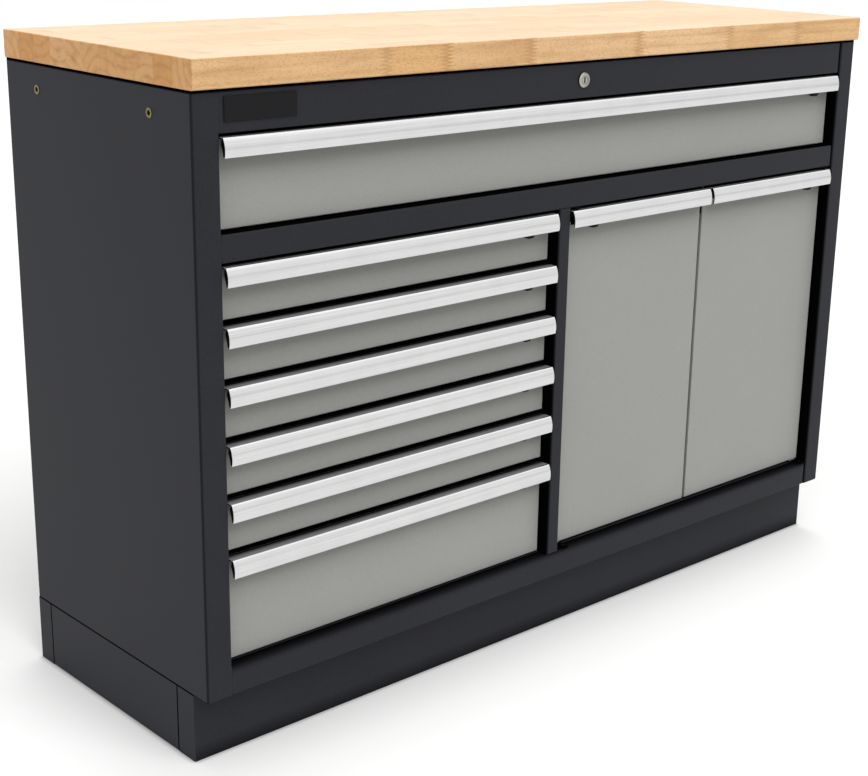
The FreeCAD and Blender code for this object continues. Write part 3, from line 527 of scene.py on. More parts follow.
@dataclass(frozen=True)
class LockPlate(Finish):
    """Nickel-plated lock face, turned in rings, with painted shade on its sides, in its groove and around the
    key slot.
    """

    colour: str
    shade: str
    # Colour of the painted shade in the groove, around the key slot and on the sides.
    dark: str
    roughness: float
    axis_x: float
    axis_z: float
    ring_width: float = 0.35 * MM
    groove_radius: float = 5.6 * MM
    groove_width: float = 0.8 * MM
    groove_depth: float = 0.7
    slot_half: tuple[float, float] = (1.3 * MM, 4.2 * MM)

    def look(self, tree: Tree, coords: Socket) -> dict[str, Value]:
        """Turned rings around the lock's axis, with painted shade in the groove, around the key slot and on
        the sides.

        Args:
            tree: Node tree of the material.
            coords: Object coordinates.

        Returns:
            What the shader's inputs get, by name.
        """
        place = add_node(tree, "SeparateXYZ", (coords,))
        normal = add_node(tree, "NewGeometry").outputs["Normal"]
        facing = add_node(tree, "SeparateXYZ", (normal,)).outputs["Y"]
        slots, squares = [], []
        for axis, centre, half in zip("XZ", (self.axis_x, self.axis_z), self.slot_half):
            away = combine(tree, "SUBTRACT", place.outputs[axis], centre)
            slots.append(add_node(tree, "Math", (away, 0.0, half), operation="COMPARE"))
            squares.append(combine(tree, "MULTIPLY", away, away))
        radius = add_node(tree, "Math", (combine(tree, "ADD", *squares),), operation="SQRT")
        turned = add_node(tree, "TexNoise", {
            "W": combine(tree, "MULTIPLY", radius, 1.0 / self.ring_width), "Detail": 1.0},
            noise_dimensions="1D")
        tint = set_ramp(add_node(tree, "ValToRGB", (turned,)),
                        [(0.3, linear(self.shade)), (0.7, linear(self.colour))])
        # Painted shade in the groove, around the key slot and on the sides that do not face the front.
        groove = add_node(tree, "Math", (radius, self.groove_radius, self.groove_width / 2),
                          operation="COMPARE")
        side = combine(tree, "GREATER_THAN", facing, -0.5)
        dark = combine(tree, "MAXIMUM", combine(tree, "MULTIPLY", groove, self.groove_depth),
                       combine(tree, "MULTIPLY", *slots), side)
        shaded = add_node(tree, "Mix", {0: dark, 6: tint, 7: linear(self.dark)}, data_type="RGBA")
        return {
            "Base Color": shaded.outputs[2],
            "Roughness": self.roughness,
            "Normal": add_node(tree, "Bump", {"Height": turned, "Strength": 0.2, "Distance": 0.05 * MM}),
            "Metallic": 1.0,
        }


@dataclass(frozen=True)
class Moulding(Finish):
    """Injection-moulded plastic, matt from a spark-eroded mould."""

    colour: str
    shade: str
    grain_mm: float
    roughness: float

    def look(self, tree: Tree, coords: Socket) -> dict[str, Value]:
        """Fine even grain.

        Args:
            tree: Node tree of the material.
            coords: Object coordinates.

        Returns:
            What the shader's inputs get, by name.
        """
        grain = add_node(tree, "TexNoise", {
            "Vector": coords, "Scale": 1.0 / (self.grain_mm * MM), "Detail": 2.0})
        return {
            "Base Color": set_ramp(add_node(tree, "ValToRGB", (grain,)),
                                   [(0.3, linear(self.shade)), (0.7, linear(self.colour))]),
            "Roughness": add_node(tree, "MapRange", {
                "Value": grain, "To Min": self.roughness - 0.05, "To Max": self.roughness + 0.05}),
            "Normal": add_node(tree, "Bump", {"Height": grain, "Strength": 0.25, "Distance": 0.1 * MM}),
            "Specular IOR Level": 0.15,
        }


@dataclass(frozen=True)
class JointedHardwood(Finish):
    """Oiled rubberwood board, glued from staves along X that are finger-jointed end to end."""

    pale: str
    warm: str
    ring: str
    pore: str
    # Pale tone of the painted sheen on the top.
    painted_top_sheen: str
    end_grain: str
    stave_width: float = 42 * MM
    stave_shift: float = 0.377
    finger_length: float = 14 * MM
    finger_pitch: float = 5 * MM
    ring_spacing: float = 15 * MM
    ring_waver: float = 20 * MM
    # Patterns per metre: wavers of 111 mm, bands of 17 mm, streaks of 2.4 mm and pores of 1.4 mm, each
    # drawn longer along the staves. Real pores are finer and would not show.
    waver_scale: float = 9.0
    band_scale: float = 60.0
    streak_scale: float = 420.0
    pore_scale: float = 700.0
    figure_stretch: float = 0.12
    pore_stretch: float = 0.4
    pith_z: tuple[float, float] = (865 * MM, 140 * MM)
    front_y: float = -231 * MM
    half_length: float = 681.5 * MM
    top_z: float = 951 * MM
    joints: tuple[float, ...] = (0.0, 0.231, 0.307, 0.423, 0.591, 0.75, 0.88)
    front_tones: tuple[float, ...] = (0.3, 0.6, 0.25, 0.15, 0.0, 0.3, 0.4)
    glue_line: tuple[tuple[float, float], ...] = ((-0.014, 0.0), (-0.002, 0.75), (0.001, 0.0))

    def look(self, tree: Tree, coords: Socket) -> dict[str, Value]:
        """Wood as a solid texture, so that rings on the ends run on as streaks along the staves.

        Args:
            tree: Node tree of the material.
            coords: Object coordinates.

        Returns:
            What the shader's inputs get, by name.
        """
        x, y, z = add_node(tree, "SeparateXYZ", (coords,)).outputs
        depth = combine(tree, "SUBTRACT", y, self.front_y)
        stave = add_node(tree, "Math", (combine(tree, "DIVIDE", depth, self.stave_width),), operation="FLOOR")
        in_stave = self.place_in_stave(tree, x, z, stave)
        count = len(self.joints)
        block = self.steps(tree, in_stave, tuple(index / count for index in range(count)))
        chance = add_node(tree, "TexWhiteNoise", {
            "W": add_node(tree, "Math", (stave, 3.7, block), operation="MULTIPLY_ADD")},
            noise_dimensions="1D")
        red, green, blue = add_node(tree, "SeparateColor", (chance.outputs["Color"],)).outputs
        stretched = add_node(tree, "Mapping", {"Vector": coords, "Scale": (self.figure_stretch, 1.0, 1.0)})
        shifted = add_node(tree, "VectorMath", (stretched, chance.outputs["Color"]), operation="ADD")
        streaks = add_node(tree, "TexNoise", {
            "Vector": shifted, "Scale": self.streak_scale, "Detail": 4.0, "Roughness": 0.6})
        broad = add_node(tree, "TexNoise", {"Vector": shifted, "Scale": self.band_scale, "Detail": 3.0})
        fibre = add_node(tree, "Mapping", {"Vector": coords, "Scale": (self.pore_stretch, 1.0, 1.0)})
        pores = add_node(tree, "TexNoise", {"Vector": fibre, "Scale": self.pore_scale, "Detail": 2.0})
        pits = add_node(tree, "MapRange", (pores, 0.5, 0.72))
        end = add_node(tree, "MapRange", (
            add_node(tree, "Math", (x,), operation="ABSOLUTE"),
            self.half_length - 1.5 * MM, self.half_length - 0.3 * MM))
        ring_strength = add_node(tree, "Math", (end, 0.25, 0.5), operation="MULTIPLY_ADD")
        colour = add_node(tree, "Mix", {
            0: self.block_tone(tree, stave, in_stave, red), 6: linear(self.pale), 7: linear(self.warm)},
            data_type="RGBA").outputs[2]
        for share, over in (
                (combine(tree, "MULTIPLY", broad, ring_strength,
                         self.rings(tree, stave, (depth, z), (green, blue), shifted)), self.ring),
                (add_node(tree, "Math", (streaks, 0.8, -0.3), operation="MULTIPLY_ADD"), self.warm),
                (add_node(tree, "Math", (broad, 1.6, -0.75), operation="MULTIPLY_ADD"), self.ring),
                (combine(tree, "MULTIPLY", pits, 0.4), self.pore),
                (self.joint_share(tree, in_stave), self.ring),
                # Painted sheen: paler from a millimetre below the top up to the top face, as light glances
                # off it.
                (add_node(tree, "MapRange", (z, self.top_z - 1.0 * MM, self.top_z - 0.2 * MM, 0.0, 0.45)),
                 self.painted_top_sheen)):
            colour = add_node(tree, "Mix", {0: share, 6: colour, 7: linear(over)},
                              data_type="RGBA", clamp_factor=True).outputs[2]
        ends = add_node(tree, "Mix", {
            0: combine(tree, "MULTIPLY", end, 0.7), 6: colour, 7: linear(self.end_grain)},
            data_type="RGBA", blend_type="MULTIPLY")
        return {
            "Base Color": ends.outputs[2],
            "Roughness": 0.5,
            "Normal": add_node(tree, "Bump", {"Height": streaks, "Strength": 0.12, "Distance": 0.2 * MM}),
            "Specular IOR Level": 0.3,
        }

    def place_in_stave(self, tree: Tree, x: Socket, z: Socket, stave: Value) -> Node:
        """Place along a stave, with the fingers' teeth in it.

        Args:
            tree: Node tree of the material.
            x: Object coordinate along the board.
            z: Object coordinate upwards.
            stave: Number of the stave from the front.

        Returns:
            0 to 1, shifted from stave to stave.
        """
        finger = combine(tree, "PINGPONG", z, self.finger_pitch / 2)
        slope = 2 * self.finger_length / self.finger_pitch
        along = add_node(tree, "Math", (finger, slope, x), operation="MULTIPLY_ADD")
        from_left = combine(tree, "SUBTRACT", along, -self.half_length)
        run = combine(tree, "DIVIDE", from_left, 2 * self.half_length)
        shifted = add_node(tree, "Math", (stave, self.stave_shift, combine(tree, "ADD", run, 3.0)),
                           operation="MULTIPLY_ADD")
        return add_node(tree, "Math", (shifted,), operation="FRACT")

    def block_tone(self, tree: Tree, stave: Value, in_stave: Value, drawn: Socket) -> Node:
        """Tone of a block, set on the front stave and drawn by chance behind it.

        Args:
            tree: Node tree of the material.
            stave: Number of the stave from the front.
            in_stave: Place along the stave, 0 to 1.
            drawn: The block's drawn number.

        Returns:
            0 for pale to 1 for warm.
        """
        first = combine(tree, "LESS_THAN", stave, 0.5)
        others = combine(tree, "SUBTRACT", 1.0, first)
        chosen = self.steps(tree, in_stave, self.front_tones)
        return combine(tree, "ADD", combine(tree, "MULTIPLY", first, chosen),
                       combine(tree, "MULTIPLY", drawn, others))

    def rings(self, tree: Tree, stave: Value, place: tuple[Value, Value],
              draws: tuple[Socket, Socket], shifted: Value) -> Node:
        """Late wood of the growth rings, around a pith that each block has elsewhere.

        Args:
            tree: Node tree of the material.
            stave: Number of the stave from the front.
            place: Depth behind the front edge, and height.
            draws: The block's drawn numbers for the pith's depth and height.
            shifted: Stretched coordinates, other in each block.

        Returns:
            1 in the darkest line of a ring.
        """
        lowest, spread = self.pith_z
        pith_stave = combine(
            tree, "ADD", stave, add_node(tree, "Math", (draws[0], 1.8, -0.4), operation="MULTIPLY_ADD"))
        centres = (combine(tree, "MULTIPLY", pith_stave, self.stave_width),
                   add_node(tree, "Math", (draws[1], spread, lowest), operation="MULTIPLY_ADD"))
        offsets = [add_node(tree, "Math", pair, operation="SUBTRACT") for pair in zip(place, centres)]
        radius = add_node(tree, "Math", (
            combine(tree, "ADD", *(combine(tree, "MULTIPLY", offset, offset) for offset in offsets)),),
            operation="SQRT")
        waver = add_node(tree, "TexNoise", {"Vector": shifted, "Scale": self.waver_scale, "Detail": 1.0})
        bent = add_node(tree, "Math", (waver, self.ring_waver, radius), operation="MULTIPLY_ADD")
        turns = combine(tree, "MULTIPLY", bent, 2 * math.pi / self.ring_spacing)
        wave = add_node(tree, "Math", (turns,), operation="SINE")
        return combine(tree, "POWER", add_node(tree, "Math", (wave, 0.5, 0.5), operation="MULTIPLY_ADD"), 4.0)

    def joint_share(self, tree: Tree, place: Value) -> Node:
        """Share of darker glued wood over the last few millimetres before each finger joint."""
        return set_ramp(add_node(tree, "ValToRGB", (place,)), [
            (joint + step, grey(level)) for joint in self.joints[1:] for step, level in self.glue_line])

    def steps(self, tree: Tree, place: Value, levels: tuple[float, ...]) -> Node:
        """Level of each block of a stave, with a step at each finger joint."""
        return set_ramp(add_node(tree, "ValToRGB", (place,)),
                        [(joint, grey(level)) for joint, level in zip(self.joints, levels)], "CONSTANT")


# Charcoal powder coat of the body, with the fine sandy texture that hides finger marks, and painted shade in
# its openings, seams and shadow lines.
CHARCOAL_COAT = PowderCoat("charcoal_powder_coat", "#28292f", "#1e1f24", 1.6, 0.6, 0.55, 0.22,
                           DarkPart.RETURNS)
# Warm grey coat of the fronts and doors, smoother and with a soft sheen, with painted shade on the pivot arms
# and on the folds in the gaps.
GREY_COAT = PowderCoat("grey_powder_coat", "#9d9d99", "#979793", 2.5, 0.12, 0.42, 0.4, DarkPart.ARMS)
# Clear-anodised aluminium extrusion, with its faint die lines.
ANODISED = DrawnMetal("anodised_aluminium", "#eeeeee", "#e0e0e1", 0.8, 0.02, 0.2)
# Painted shade on the extrusion behind the blade, where the hollow is dark.
HOLLOW_PAINTED_SHADE = PowderCoat("hollow_painted_shade", "#0c0c0d", "#070708", 1.0, 0.1, 0.7, 0.05)
# Painted light on the leg's end, matt grey where light reaches into the hollow, beside the painted shade
# deeper in.
LEG_PAINTED_LIGHT = PowderCoat("leg_painted_light", "#a2a29e", "#9a9a96", 1.0, 0.1, 0.6, 0.2)
# Sawn and polished ends of the extrusion, brighter than its faces.
SAWN_ENDS = PowderCoat("sawn_aluminium_ends", "#f2f2f0", "#e4e4e2", 0.5, 0.1, 0.4, 0.5)
# Painted shade and reflection on the extrusion's ledge: a dark band behind the bright brow.
LEDGE_PAINTED_SHADE = PowderCoat("ledge_painted_shade", "#78787a", "#6c6c6e", 1.0, 0.1, 0.6, 0.2, DarkPart.LEDGE)
# Black of the pivots: painted shade, so that they hardly show in their shaded gaps.
PIVOT_PAINTED_SHADE = PowderCoat("pivot_painted_shade", "#09090a", "#060607", 1.0, 0.1, 0.7, 0.05)
# Black lacquer of the bare plate, smoother than the body's coat.
PLATE_LACQUER = PowderCoat("plate_lacquer", "#101013", "#0b0b0e", 0.8, 0.2, 0.45, 0.2)
# Bright zinc plate on the slides, posts and lock gear.
ZINC = DrawnMetal("zinc_plated_steel", "#c9ccd0", "#aeb2b8", 3.0, 0.15, 0.38)
# Yellow passivated steel of the threaded inserts.
YELLOW_ZINC = DrawnMetal("yellow_passivated_steel", "#9c9168", "#6f6745", 1.5, 0.15, 0.4)
# Black moulded plastic of the catches.
BLACK_PLASTIC = Moulding("black_moulded_plastic", "#0b0b0c", "#070708", 0.8, 0.5)
# Oiled rubberwood of the worktop, with a painted sheen on its top.
RUBBERWOOD = JointedHardwood("oiled_rubberwood", "#ecc699", "#dba868", "#b98a58", "#9a6c3e", "#f8ead2",
                             "#ead6bd")


@dataclass(frozen=True)
class Lamp:
    """Lamp so far off that it lights everything evenly: its strength in W/m2 and its width in degrees."""

    name: str
    from_direction: tuple[float, float, float]
    strength: float
    spread: float

    def build(self) -> None:
        """Hang the lamp, unseen in reflections."""
        data = bpy.data.lights.new(self.name, "SUN")
        data.energy = self.strength
        data.angle = math.radians(self.spread)
        lamp = placed(self.name, data)
        lamp.matrix_world = Vector(self.from_direction).to_track_quat("Z", "Y").to_matrix().to_4x4()
        lamp.visible_glossy = False


@dataclass
class Studio:
    """Floor, light and camera."""

    camera_place: tuple[float, float, float] = (-1.7644, -1.8841, 1.1529)
    camera_right: tuple[float, float, float] = (0.73174056, -0.68121886, 0.02228498)
    camera_up: tuple[float, float, float] = (0.18463218, 0.22958662, 0.95561548)
    focal_length: float = 67.622
    sensor_width: float = 36.0
    principal_shift: tuple[float, float] = (-0.05097, -0.00104)
    floor_half: float = 12.0
    floor_glow: float = 0.12
    floor_mirrored: float = 0.45
    contact_reaches: tuple[tuple[float, float], ...] = ((9 * MM, 0.9), (120 * MM, 0.16))
    dome_strength: float = 0.36
    wall_levels: tuple[tuple[float, float], ...] = ((0.0, 0.68), (0.12, 0.88), (0.42, 0.9), (0.6, 1.2))
    lamps: tuple[Lamp, ...] = (
        Lamp("overhead_light", (0.1, 0.1, 1.0), 0.65, 15.0),
        Lamp("front_soft_light", (-0.1, -0.75, 1.0), 2.2, 45.0),
        Lamp("left_soft_light", (-1.0, -0.25, 0.45), 0.95, 60.0),
    )

    def build(self) -> None:
        """Build the whole studio."""
        bpy.context.scene.view_settings.view_transform = "Standard"
        self.build_camera()
        self.build_floor()
        self.build_world()
        for lamp in self.lamps:
            lamp.build()

    def build_camera(self) -> None:
        """Set the camera at the photograph's viewing angle."""
        data = bpy.data.cameras.new("photo_camera")
        data.lens = self.focal_length
        data.sensor_width = self.sensor_width
        data.shift_x, data.shift_y = self.principal_shift
        data.clip_end = 100.0
        camera = placed("photo_camera", data)
        right = Vector(self.camera_right).normalized()
        up = Vector(self.camera_up).normalized()
        turn = Matrix((right, up, right.cross(up))).transposed()
        camera.matrix_world = Matrix.Translation(self.camera_place) @ turn.to_4x4()
        bpy.context.scene.camera = camera

    def build_floor(self) -> None:
        """Lay a pale floor that shows white to the camera and keeps the object's shadow."""
        mesh = bpy.data.meshes.new("studio_floor")
        work = bmesh.new()
        bmesh.ops.create_grid(work, x_segments=1, y_segments=1, size=self.floor_half)
        work.to_mesh(mesh)
        work.free()
        material = bpy.data.materials.new("pale_floor")
        material.use_nodes = True
        tree = material.node_tree
        tree.nodes.clear()
        colour = add_node(tree, "Mix", {
            0: self.seen_share(tree, 1.0, self.floor_mirrored), 6: linear("#c4c4c3"), 7: linear("#f6f6f5")},
            data_type="RGBA").outputs[2]
        contact = self.contact_shade(tree)
        shaded = add_node(tree, "Mix", {0: 1.0, 6: colour, 7: contact},
                          data_type="RGBA", blend_type="MULTIPLY")
        diffuse = add_node(tree, "BsdfDiffuse", {"Color": shaded.outputs[2]})
        glow = add_node(tree, "Emission", {"Color": contact, "Strength": 1.0})
        mixed = add_node(tree, "MixShader", (self.seen_share(tree, self.floor_glow), diffuse, glow))
        add_node(tree, "OutputMaterial", {"Surface": mixed})
        mesh.materials.append(material)
        placed("studio_floor", mesh)

    def contact_shade(self, tree: Tree) -> Node:
        """Darken the floor, as it is seen, at the plinth's foot, where hardly any light gets in.

        Args:
            tree: Node tree of the floor.

        Returns:
            1 away from the plinth, falling towards its foot.
        """
        shades = []
        for reach, power in self.contact_reaches:
            nearby = add_node(tree, "AmbientOcclusion", {"Distance": reach}, samples=16)
            shades.append(combine(tree, "POWER", nearby.outputs["AO"], self.seen_share(tree, power)))
        return combine(tree, "MULTIPLY", *shades)

    def seen_share(self, tree: Tree, share: float, mirrored: float = 1.0) -> Node:
        """Give a share for rays that are seen or mirrored, and 0 for those that light.

        Args:
            tree: Node tree of the floor or the world.
            share: Value on camera rays.
            mirrored: Part of that value on glossy and transmission rays.

        Returns:
            The node that holds the share.
        """
        rays = add_node(tree, "LightPath").outputs
        others = (combine(tree, "MULTIPLY", rays[name], mirrored)
                  for name in ("Is Glossy Ray", "Is Transmission Ray"))
        seen = combine(tree, "MAXIMUM", rays["Is Camera Ray"], *others)
        return combine(tree, "MULTIPLY", seen, share)

    def build_world(self) -> None:
        """Make a white backdrop that lights the object more softly than it shows."""
        world = bpy.data.worlds.new("studio_world")
        world.use_nodes = True
        tree = world.node_tree
        tree.nodes.clear()
        dome = add_node(tree, "Background", {"Color": grey(1.0), "Strength": self.dome_strength})
        direction = add_node(tree, "TexCoord").outputs["Generated"]
        height = add_node(tree, "SeparateXYZ", (direction,)).outputs["Z"]
        wall = set_ramp(add_node(tree, "ValToRGB", (height,)),
                        [(at, grey(level)) for at, level in self.wall_levels])
        straight = add_node(tree, "LightPath").outputs["Is Camera Ray"]
        tone = add_node(tree, "Mix", {0: straight, 6: wall, 7: grey(1.0)}, data_type="RGBA").outputs[2]
        shown = add_node(tree, "Background", {"Color": tone, "Strength": 1.0})
        mixed = add_node(tree, "MixShader", (self.seen_share(tree, 1.0), dome, shown))
        add_node(tree, "OutputWorld", {"Surface": mixed})
        bpy.context.scene.world = world


def ease_edges(work: Shape, edges: list[bmesh.types.BMEdge], offset: float, segments: int) -> None:
    """Round some edges of a shape, from an offset beside each and over a number of facets."""
    bmesh.ops.bevel(work, geom=edges, offset=offset, offset_type="OFFSET", segments=segments, profile=0.5,
                    affect="EDGES", clamp_overlap=True, material=-1)


def finished(name: str, work: Shape, material: Material, body: str,
             smooth_degrees: float = 30.0) -> Object:
    """Turn a bmesh into a piece at the origin that rides on a body.

    Args:
        name: Name of the piece.
        work: Its shape, which is freed.
        material: Its finish.
        body: CAD body that it rides on.
        smooth_degrees: Faces that meet at less than this angle shade as one surface.

    Returns:
        The piece.
    """
    bmesh.ops.recalc_face_normals(work, faces=work.faces)
    for face in work.faces:
        face.smooth = True
    for edge in work.edges:
        edge.smooth = len(edge.link_faces) == 2 and edge.calc_face_angle() < math.radians(smooth_degrees)
    mesh = bpy.data.meshes.new(name)
    work.to_mesh(mesh)
    work.free()
    mesh.materials.append(material)
    piece = placed(name, mesh)
    weighted = piece.modifiers.new("flat_faces_stay_flat", "WEIGHTED_NORMAL")
    weighted.keep_sharp = True
    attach(piece, body)
    LOG.info("%s: %d faces", name, len(mesh.polygons))
    return piece


@dataclass
class Finishes:
    """Materials of the cabinet by slot: the record's, and two more, the pivots' painted shade and the plate.
    """

    materials: dict[str, Material] = field(default_factory=dict)
    # Nodes that take the pivots' painted shade instead of their slot's finish.
    black_nodes: tuple[str, ...] = ("hinge_pivots",)

    def build(self) -> None:
        """Build every finish."""
        by_slot = {
            "worktop_wood": RUBBERWOOD, "carcass_paint": CHARCOAL_COAT, "front_paint": GREY_COAT,
            "handle_aluminium": ANODISED, "catch_plastic": BLACK_PLASTIC, "zinc": ZINC,
            "insert_brass": YELLOW_ZINC, "black": PIVOT_PAINTED_SHADE, "plate": PLATE_LACQUER,
        }
        low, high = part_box("lock_plug")
        # Nickel plate of the lock, with its turned rings and its painted shade.
        by_slot["lock_nickel"] = LockPlate("nickel_plated_brass", "#cccbc2", "#aaa9a0", "#060606", 0.3,
                                           (low.x + high.x) / 2, (low.z + high.z) / 2)
        for slot, finish in by_slot.items():
            self.materials[slot] = finish.build()

    def dress(self, frame: dict) -> None:
        """Give every CAD node the finish of its slot.
        """
        for row in frame["record"]["subparts"]:
            node = frame["nodes"][row["node"]]
            node.data.materials.clear()
            slot = "black" if row["node"] in self.black_nodes else row["material_slot"]
            node.data.materials.append(self.materials[slot])


@dataclass
class HandleBar:
    """Aluminium grip over a front's top edge, drawn with its full curve."""

    front: str
    materials: tuple[Material, ...]
    legless: tuple[float, float] = (0.0, 0.0)
    reach: float = 24.5 * MM
    height: float = 25.0 * MM
    wall: float = 2.0 * MM
    leg_height: float = 22.0 * MM
    bulge_drop: float = 16.5 * MM
    top_setback: float = 4.5 * MM
    brow_round: float = 1.2 * MM
    end_round: float = 0.25 * MM
    # Depth of the ledge's painted shade, and the reach and slant of the painted light on the leg's end.
    ledge_dark: float = 17.0 * MM
    lit_end: float = 9.5 * MM
    lit_slant: float = 0.12
    # Dark blocks of painted shade in the hollow at the ends.
    shade_plug_length: float = 0.0
    shade_plug_inset: float = 0.3 * MM
    shade_plug_tip: float = 0.6 * MM
    shade_plug_depths: tuple[tuple[float, float], ...] = (
        (0.0, 2.5 * MM), (0.15, 5.5 * MM), (0.3, 7.5 * MM), (0.5, 6.5 * MM), (0.7, 5.0 * MM),
        (0.85, 4.0 * MM), (1.0, 2.5 * MM))
    arc_steps: int = 16
    smooth_degrees: float = 25.0

    def __post_init__(self) -> None:
        """Take the bar's place from its CAD node and work out the circle of the blade's outer face."""
        self.node = f"{self.front}_handle"
        low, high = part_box(self.node)
        self.left, self.right, self.back, self.top = low.x, high.x, high.y, high.z
        self.radius = (self.top_setback ** 2 + self.bulge_drop ** 2) / (2 * self.top_setback)
        self.centre_y = self.back - self.reach + self.radius
        self.centre_z = self.top - self.bulge_drop

    def build(self) -> Object:
        """Build the bar from its sections and put it in place of its CAD node.

        Returns:
            The bar.
        """
        work = bmesh.new()
        self.add_run(work, self.section(), self.left, self.right)
        self.add_run(work, self.leg_section(), self.left + self.legless[0], self.right - self.legless[1])
        # Dark blocks of painted shade in the hollow at both ends.
        if self.shade_plug_length:
            for start in (self.left + self.shade_plug_inset, self.right - self.shade_plug_inset - self.shade_plug_length):
                self.add_run(work, self.shade_plug_section(), start, start + self.shade_plug_length)
        # Cut the leg where its painted light gives way to the hollow's painted shade.
        shade_start = Vector((self.left + self.lit_end, self.back, self.centre_z))
        for slant in (-self.lit_slant, self.lit_slant):
            bmesh.ops.bisect_plane(work, geom=[*work.verts, *work.edges, *work.faces], plane_co=shade_start,
                                   plane_no=(1.0, 0.0, slant))
        self.mark_finishes(work)
        piece = finished(f"{self.front}_grip", work, self.materials[0], self.front,
                         self.smooth_degrees)
        for material in self.materials[1:]:
            piece.data.materials.append(material)
        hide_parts(self.node)
        return piece

    def add_run(self, work: Shape, section: Outline, start: float, end: float) -> None:
        """Extrude one run of the bar and ease the edges of its ends.

        Args:
            work: Shape of the bar.
            section: Closed outline as depths and heights.
            start: Left end.
            end: Right end.
        """
        face = work.faces.new([work.verts.new((start, y, z)) for y, z in section])
        swept = bmesh.ops.extrude_face_region(work, geom=[face])
        moved = [item for item in swept["geom"] if isinstance(item, bmesh.types.BMVert)]
        bmesh.ops.translate(work, verts=moved, vec=(end - start, 0.0, 0.0))
        run = {edge for vert in [*moved, *face.verts] for edge in vert.link_edges}
        rims = [edge for edge in run if abs(edge.verts[0].co.x - edge.verts[1].co.x) < 1e-6]
        ease_edges(work, rims, self.end_round, 2)

    def blade_y(self, z: float, inward: float = 0.0) -> float:
        """Depth of the blade's outer face at a height, or of a face inward of it."""
        return self.centre_y - math.sqrt((self.radius - inward) ** 2 - (z - self.centre_z) ** 2)

    def mark_finishes(self, work: Shape) -> None:
        """Give the hollow and the ledge painted shade, the lit end of the leg painted light, and the sawn
        ends their own material.

        Args:
            work: Shape of the bar.
        """
        for face in work.faces:
            x, y, z = face.calc_center_median()
            face.normal_update()
            if y > self.blade_y(z) + 0.7 * self.wall and z < self.top - 0.6 * self.wall:
                lit_to = self.left + self.lit_end + self.lit_slant * abs(z - self.centre_z)
                lit = y > self.back - 1.1 * self.wall and x < lit_to
                face.material_index = GripFace.LIT_LEG if lit else GripFace.HOLLOW
            elif abs(face.normal.x) > 0.5:
                face.material_index = GripFace.SAWN_END
            elif z > self.top - 0.1 * self.wall and y > self.back - self.ledge_dark:
                face.material_index = GripFace.LEDGE

    def shade_plug_section(self) -> Outline:
        """Outline of a dark block of painted shade in the blade's hollow at each end.

        Returns:
            Points of the closed outline.
        """
        start, tip = self.top - self.wall, self.top - self.height + self.shade_plug_tip
        blade, inside = [], []
        for share, depth in self.shade_plug_depths:
            z = start + (tip - start) * share
            y = self.blade_y(z, 0.7 * self.wall)
            blade.append((y, z))
            inside.append((y + depth, z))
        return blade + inside[::-1]

    def leg_section(self) -> Outline:
        """Outline of the leg against the front, from under the ledge down."""
        front, under, foot = self.back - self.wall, self.top - self.wall, self.top - self.leg_height
        return [(self.back, under), (front, under), (front, foot), (self.back, foot)]

    def section(self) -> Outline:
        """Outline of the ledge and the blade.

        Returns:
            Points of the closed outline.
        """
        ease, tip, under = self.brow_round, self.top - self.height, self.top - self.wall

        def curve(inward: float, start: float, end: float) -> Outline:
            """Points of the blade's outer or inner face between two heights."""
            heights = [start + (end - start) * step / self.arc_steps for step in range(self.arc_steps + 1)]
            return [(self.blade_y(z, inward), z) for z in heights]

        # The ledge turns into the blade over three points.
        brow_y = self.back - self.reach + self.top_setback
        brow = [(brow_y + ease * 0.9, self.top), (brow_y + ease * 0.35, self.top - ease * 0.12),
                (brow_y - ease * 0.05, self.top - ease * 0.5)]
        ledge = [(self.back, under), (self.back, self.top), (self.back - self.ledge_dark, self.top)]
        return brow + curve(0.0, self.top - ease, tip) + curve(self.wall, tip, under) + ledge


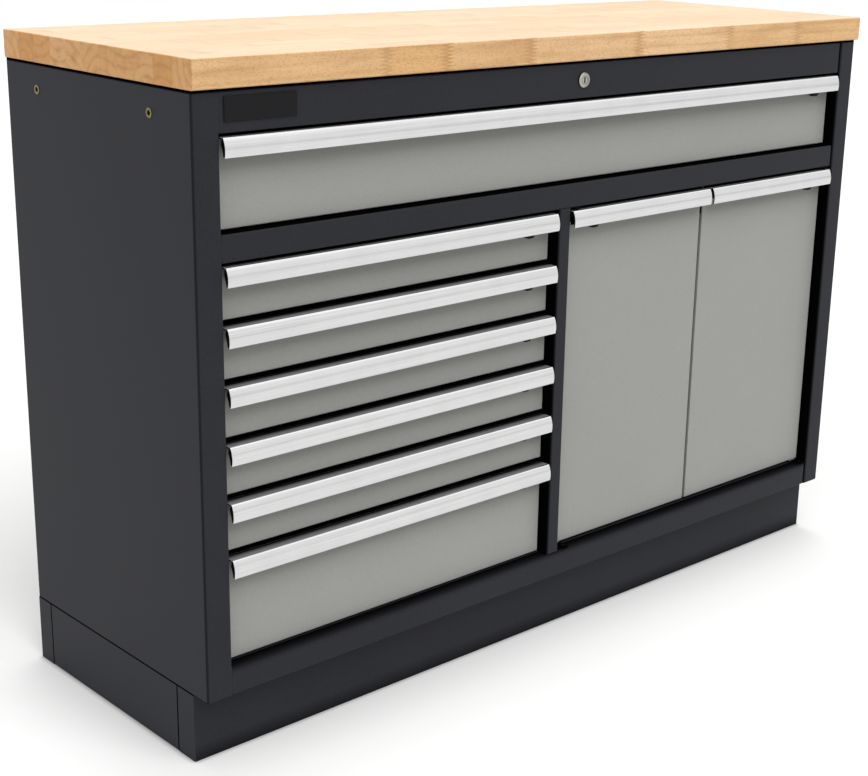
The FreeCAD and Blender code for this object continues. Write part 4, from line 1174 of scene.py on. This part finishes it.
@dataclass(frozen=True)
class FramePiece:
    """Flat piece at the frame's face: the bare plate, or the nearly flush filling of a welded joint."""

    name: str
    coat: str
    bottom: float
    top: float
    left: float = -642.6 * MM
    right: float = -639.6 * MM
    front_y: float = FRAME_FACE_Y + 0.15 * MM
    thickness: float = 1.5 * MM
    edge_round: float = 0.0

    def build(self, materials: dict[str, Material]) -> Object:
        """Build the piece as a box, with eased edges where it has a round.

        Args:
            materials: Finishes by slot.

        Returns:
            The piece.
        """
        work = bmesh.new()
        bmesh.ops.create_cube(work, size=1.0)
        size = (self.right - self.left, self.thickness, self.top - self.bottom)
        bmesh.ops.scale(work, verts=work.verts, vec=size)
        middle = ((self.left + self.right) / 2, self.front_y + self.thickness / 2,
                  (self.bottom + self.top) / 2)
        bmesh.ops.translate(work, verts=work.verts, vec=middle)
        if self.edge_round:
            ease_edges(work, list(work.edges), self.edge_round, 3)
        return finished(self.name, work, materials[self.coat], "carcass")


@dataclass
class Cabinet:
    """All pieces drawn around the CAD frame."""

    flat_pieces: tuple[FramePiece, ...] = (
        FramePiece("bare_plate", "plate", 872 * MM, 903 * MM, -633 * MM, -523 * MM,
                   FRAME_FACE_Y - 2 * MM, 2 * MM, 0.5 * MM),
        FramePiece("top_rail_joint", "carcass_paint", 860 * MM, 911 * MM),
        FramePiece("mid_rail_joint", "carcass_paint", 699 * MM, 730 * MM),
        FramePiece("bottom_rail_joint", "carcass_paint", 104.5 * MM, 141 * MM),
    )
    drawers: tuple[str, ...] = (
        "wide_drawer", "drawer_1", "drawer_2", "drawer_3", "drawer_4", "drawer_5", "deep_drawer")
    # Reach of the painted light on the drawers' grip legs, and length of the dark blocks of painted shade in
    # their hollows.
    drawer_lit_end: float = 16 * MM
    drawer_shade_plug: float = 6 * MM
    arm_room: float = 24 * MM

    def build(self, materials: dict[str, Material]) -> None:
        """Build the plate, the fillings and the grips.

        Args:
            materials: Finishes by slot.
        """
        for piece in self.flat_pieces:
            piece.build(materials)
        grip = (materials["handle_aluminium"], *(
            finish.build() for finish in (HOLLOW_PAINTED_SHADE, LEG_PAINTED_LIGHT, SAWN_ENDS, LEDGE_PAINTED_SHADE)))
        for front in self.drawers:
            HandleBar(front, grip, lit_end=self.drawer_lit_end, shade_plug_length=self.drawer_shade_plug).build()
        # The legs of the doors' grips stop short of the pivot arms.
        HandleBar("left_door", grip, legless=(self.arm_room, 0.0)).build()
        HandleBar("right_door", grip, legless=(0.0, self.arm_room)).build()


def main() -> None:
    """Build the cabinet's looks around its CAD frame."""
    logging.basicConfig(level=logging.INFO, format="%(message)s")
    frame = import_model()
    Studio().build()
    finishes = Finishes()
    finishes.build()
    finishes.dress(frame)
    Cabinet().build(finishes.materials)


if __name__ == "__main__":
    main()
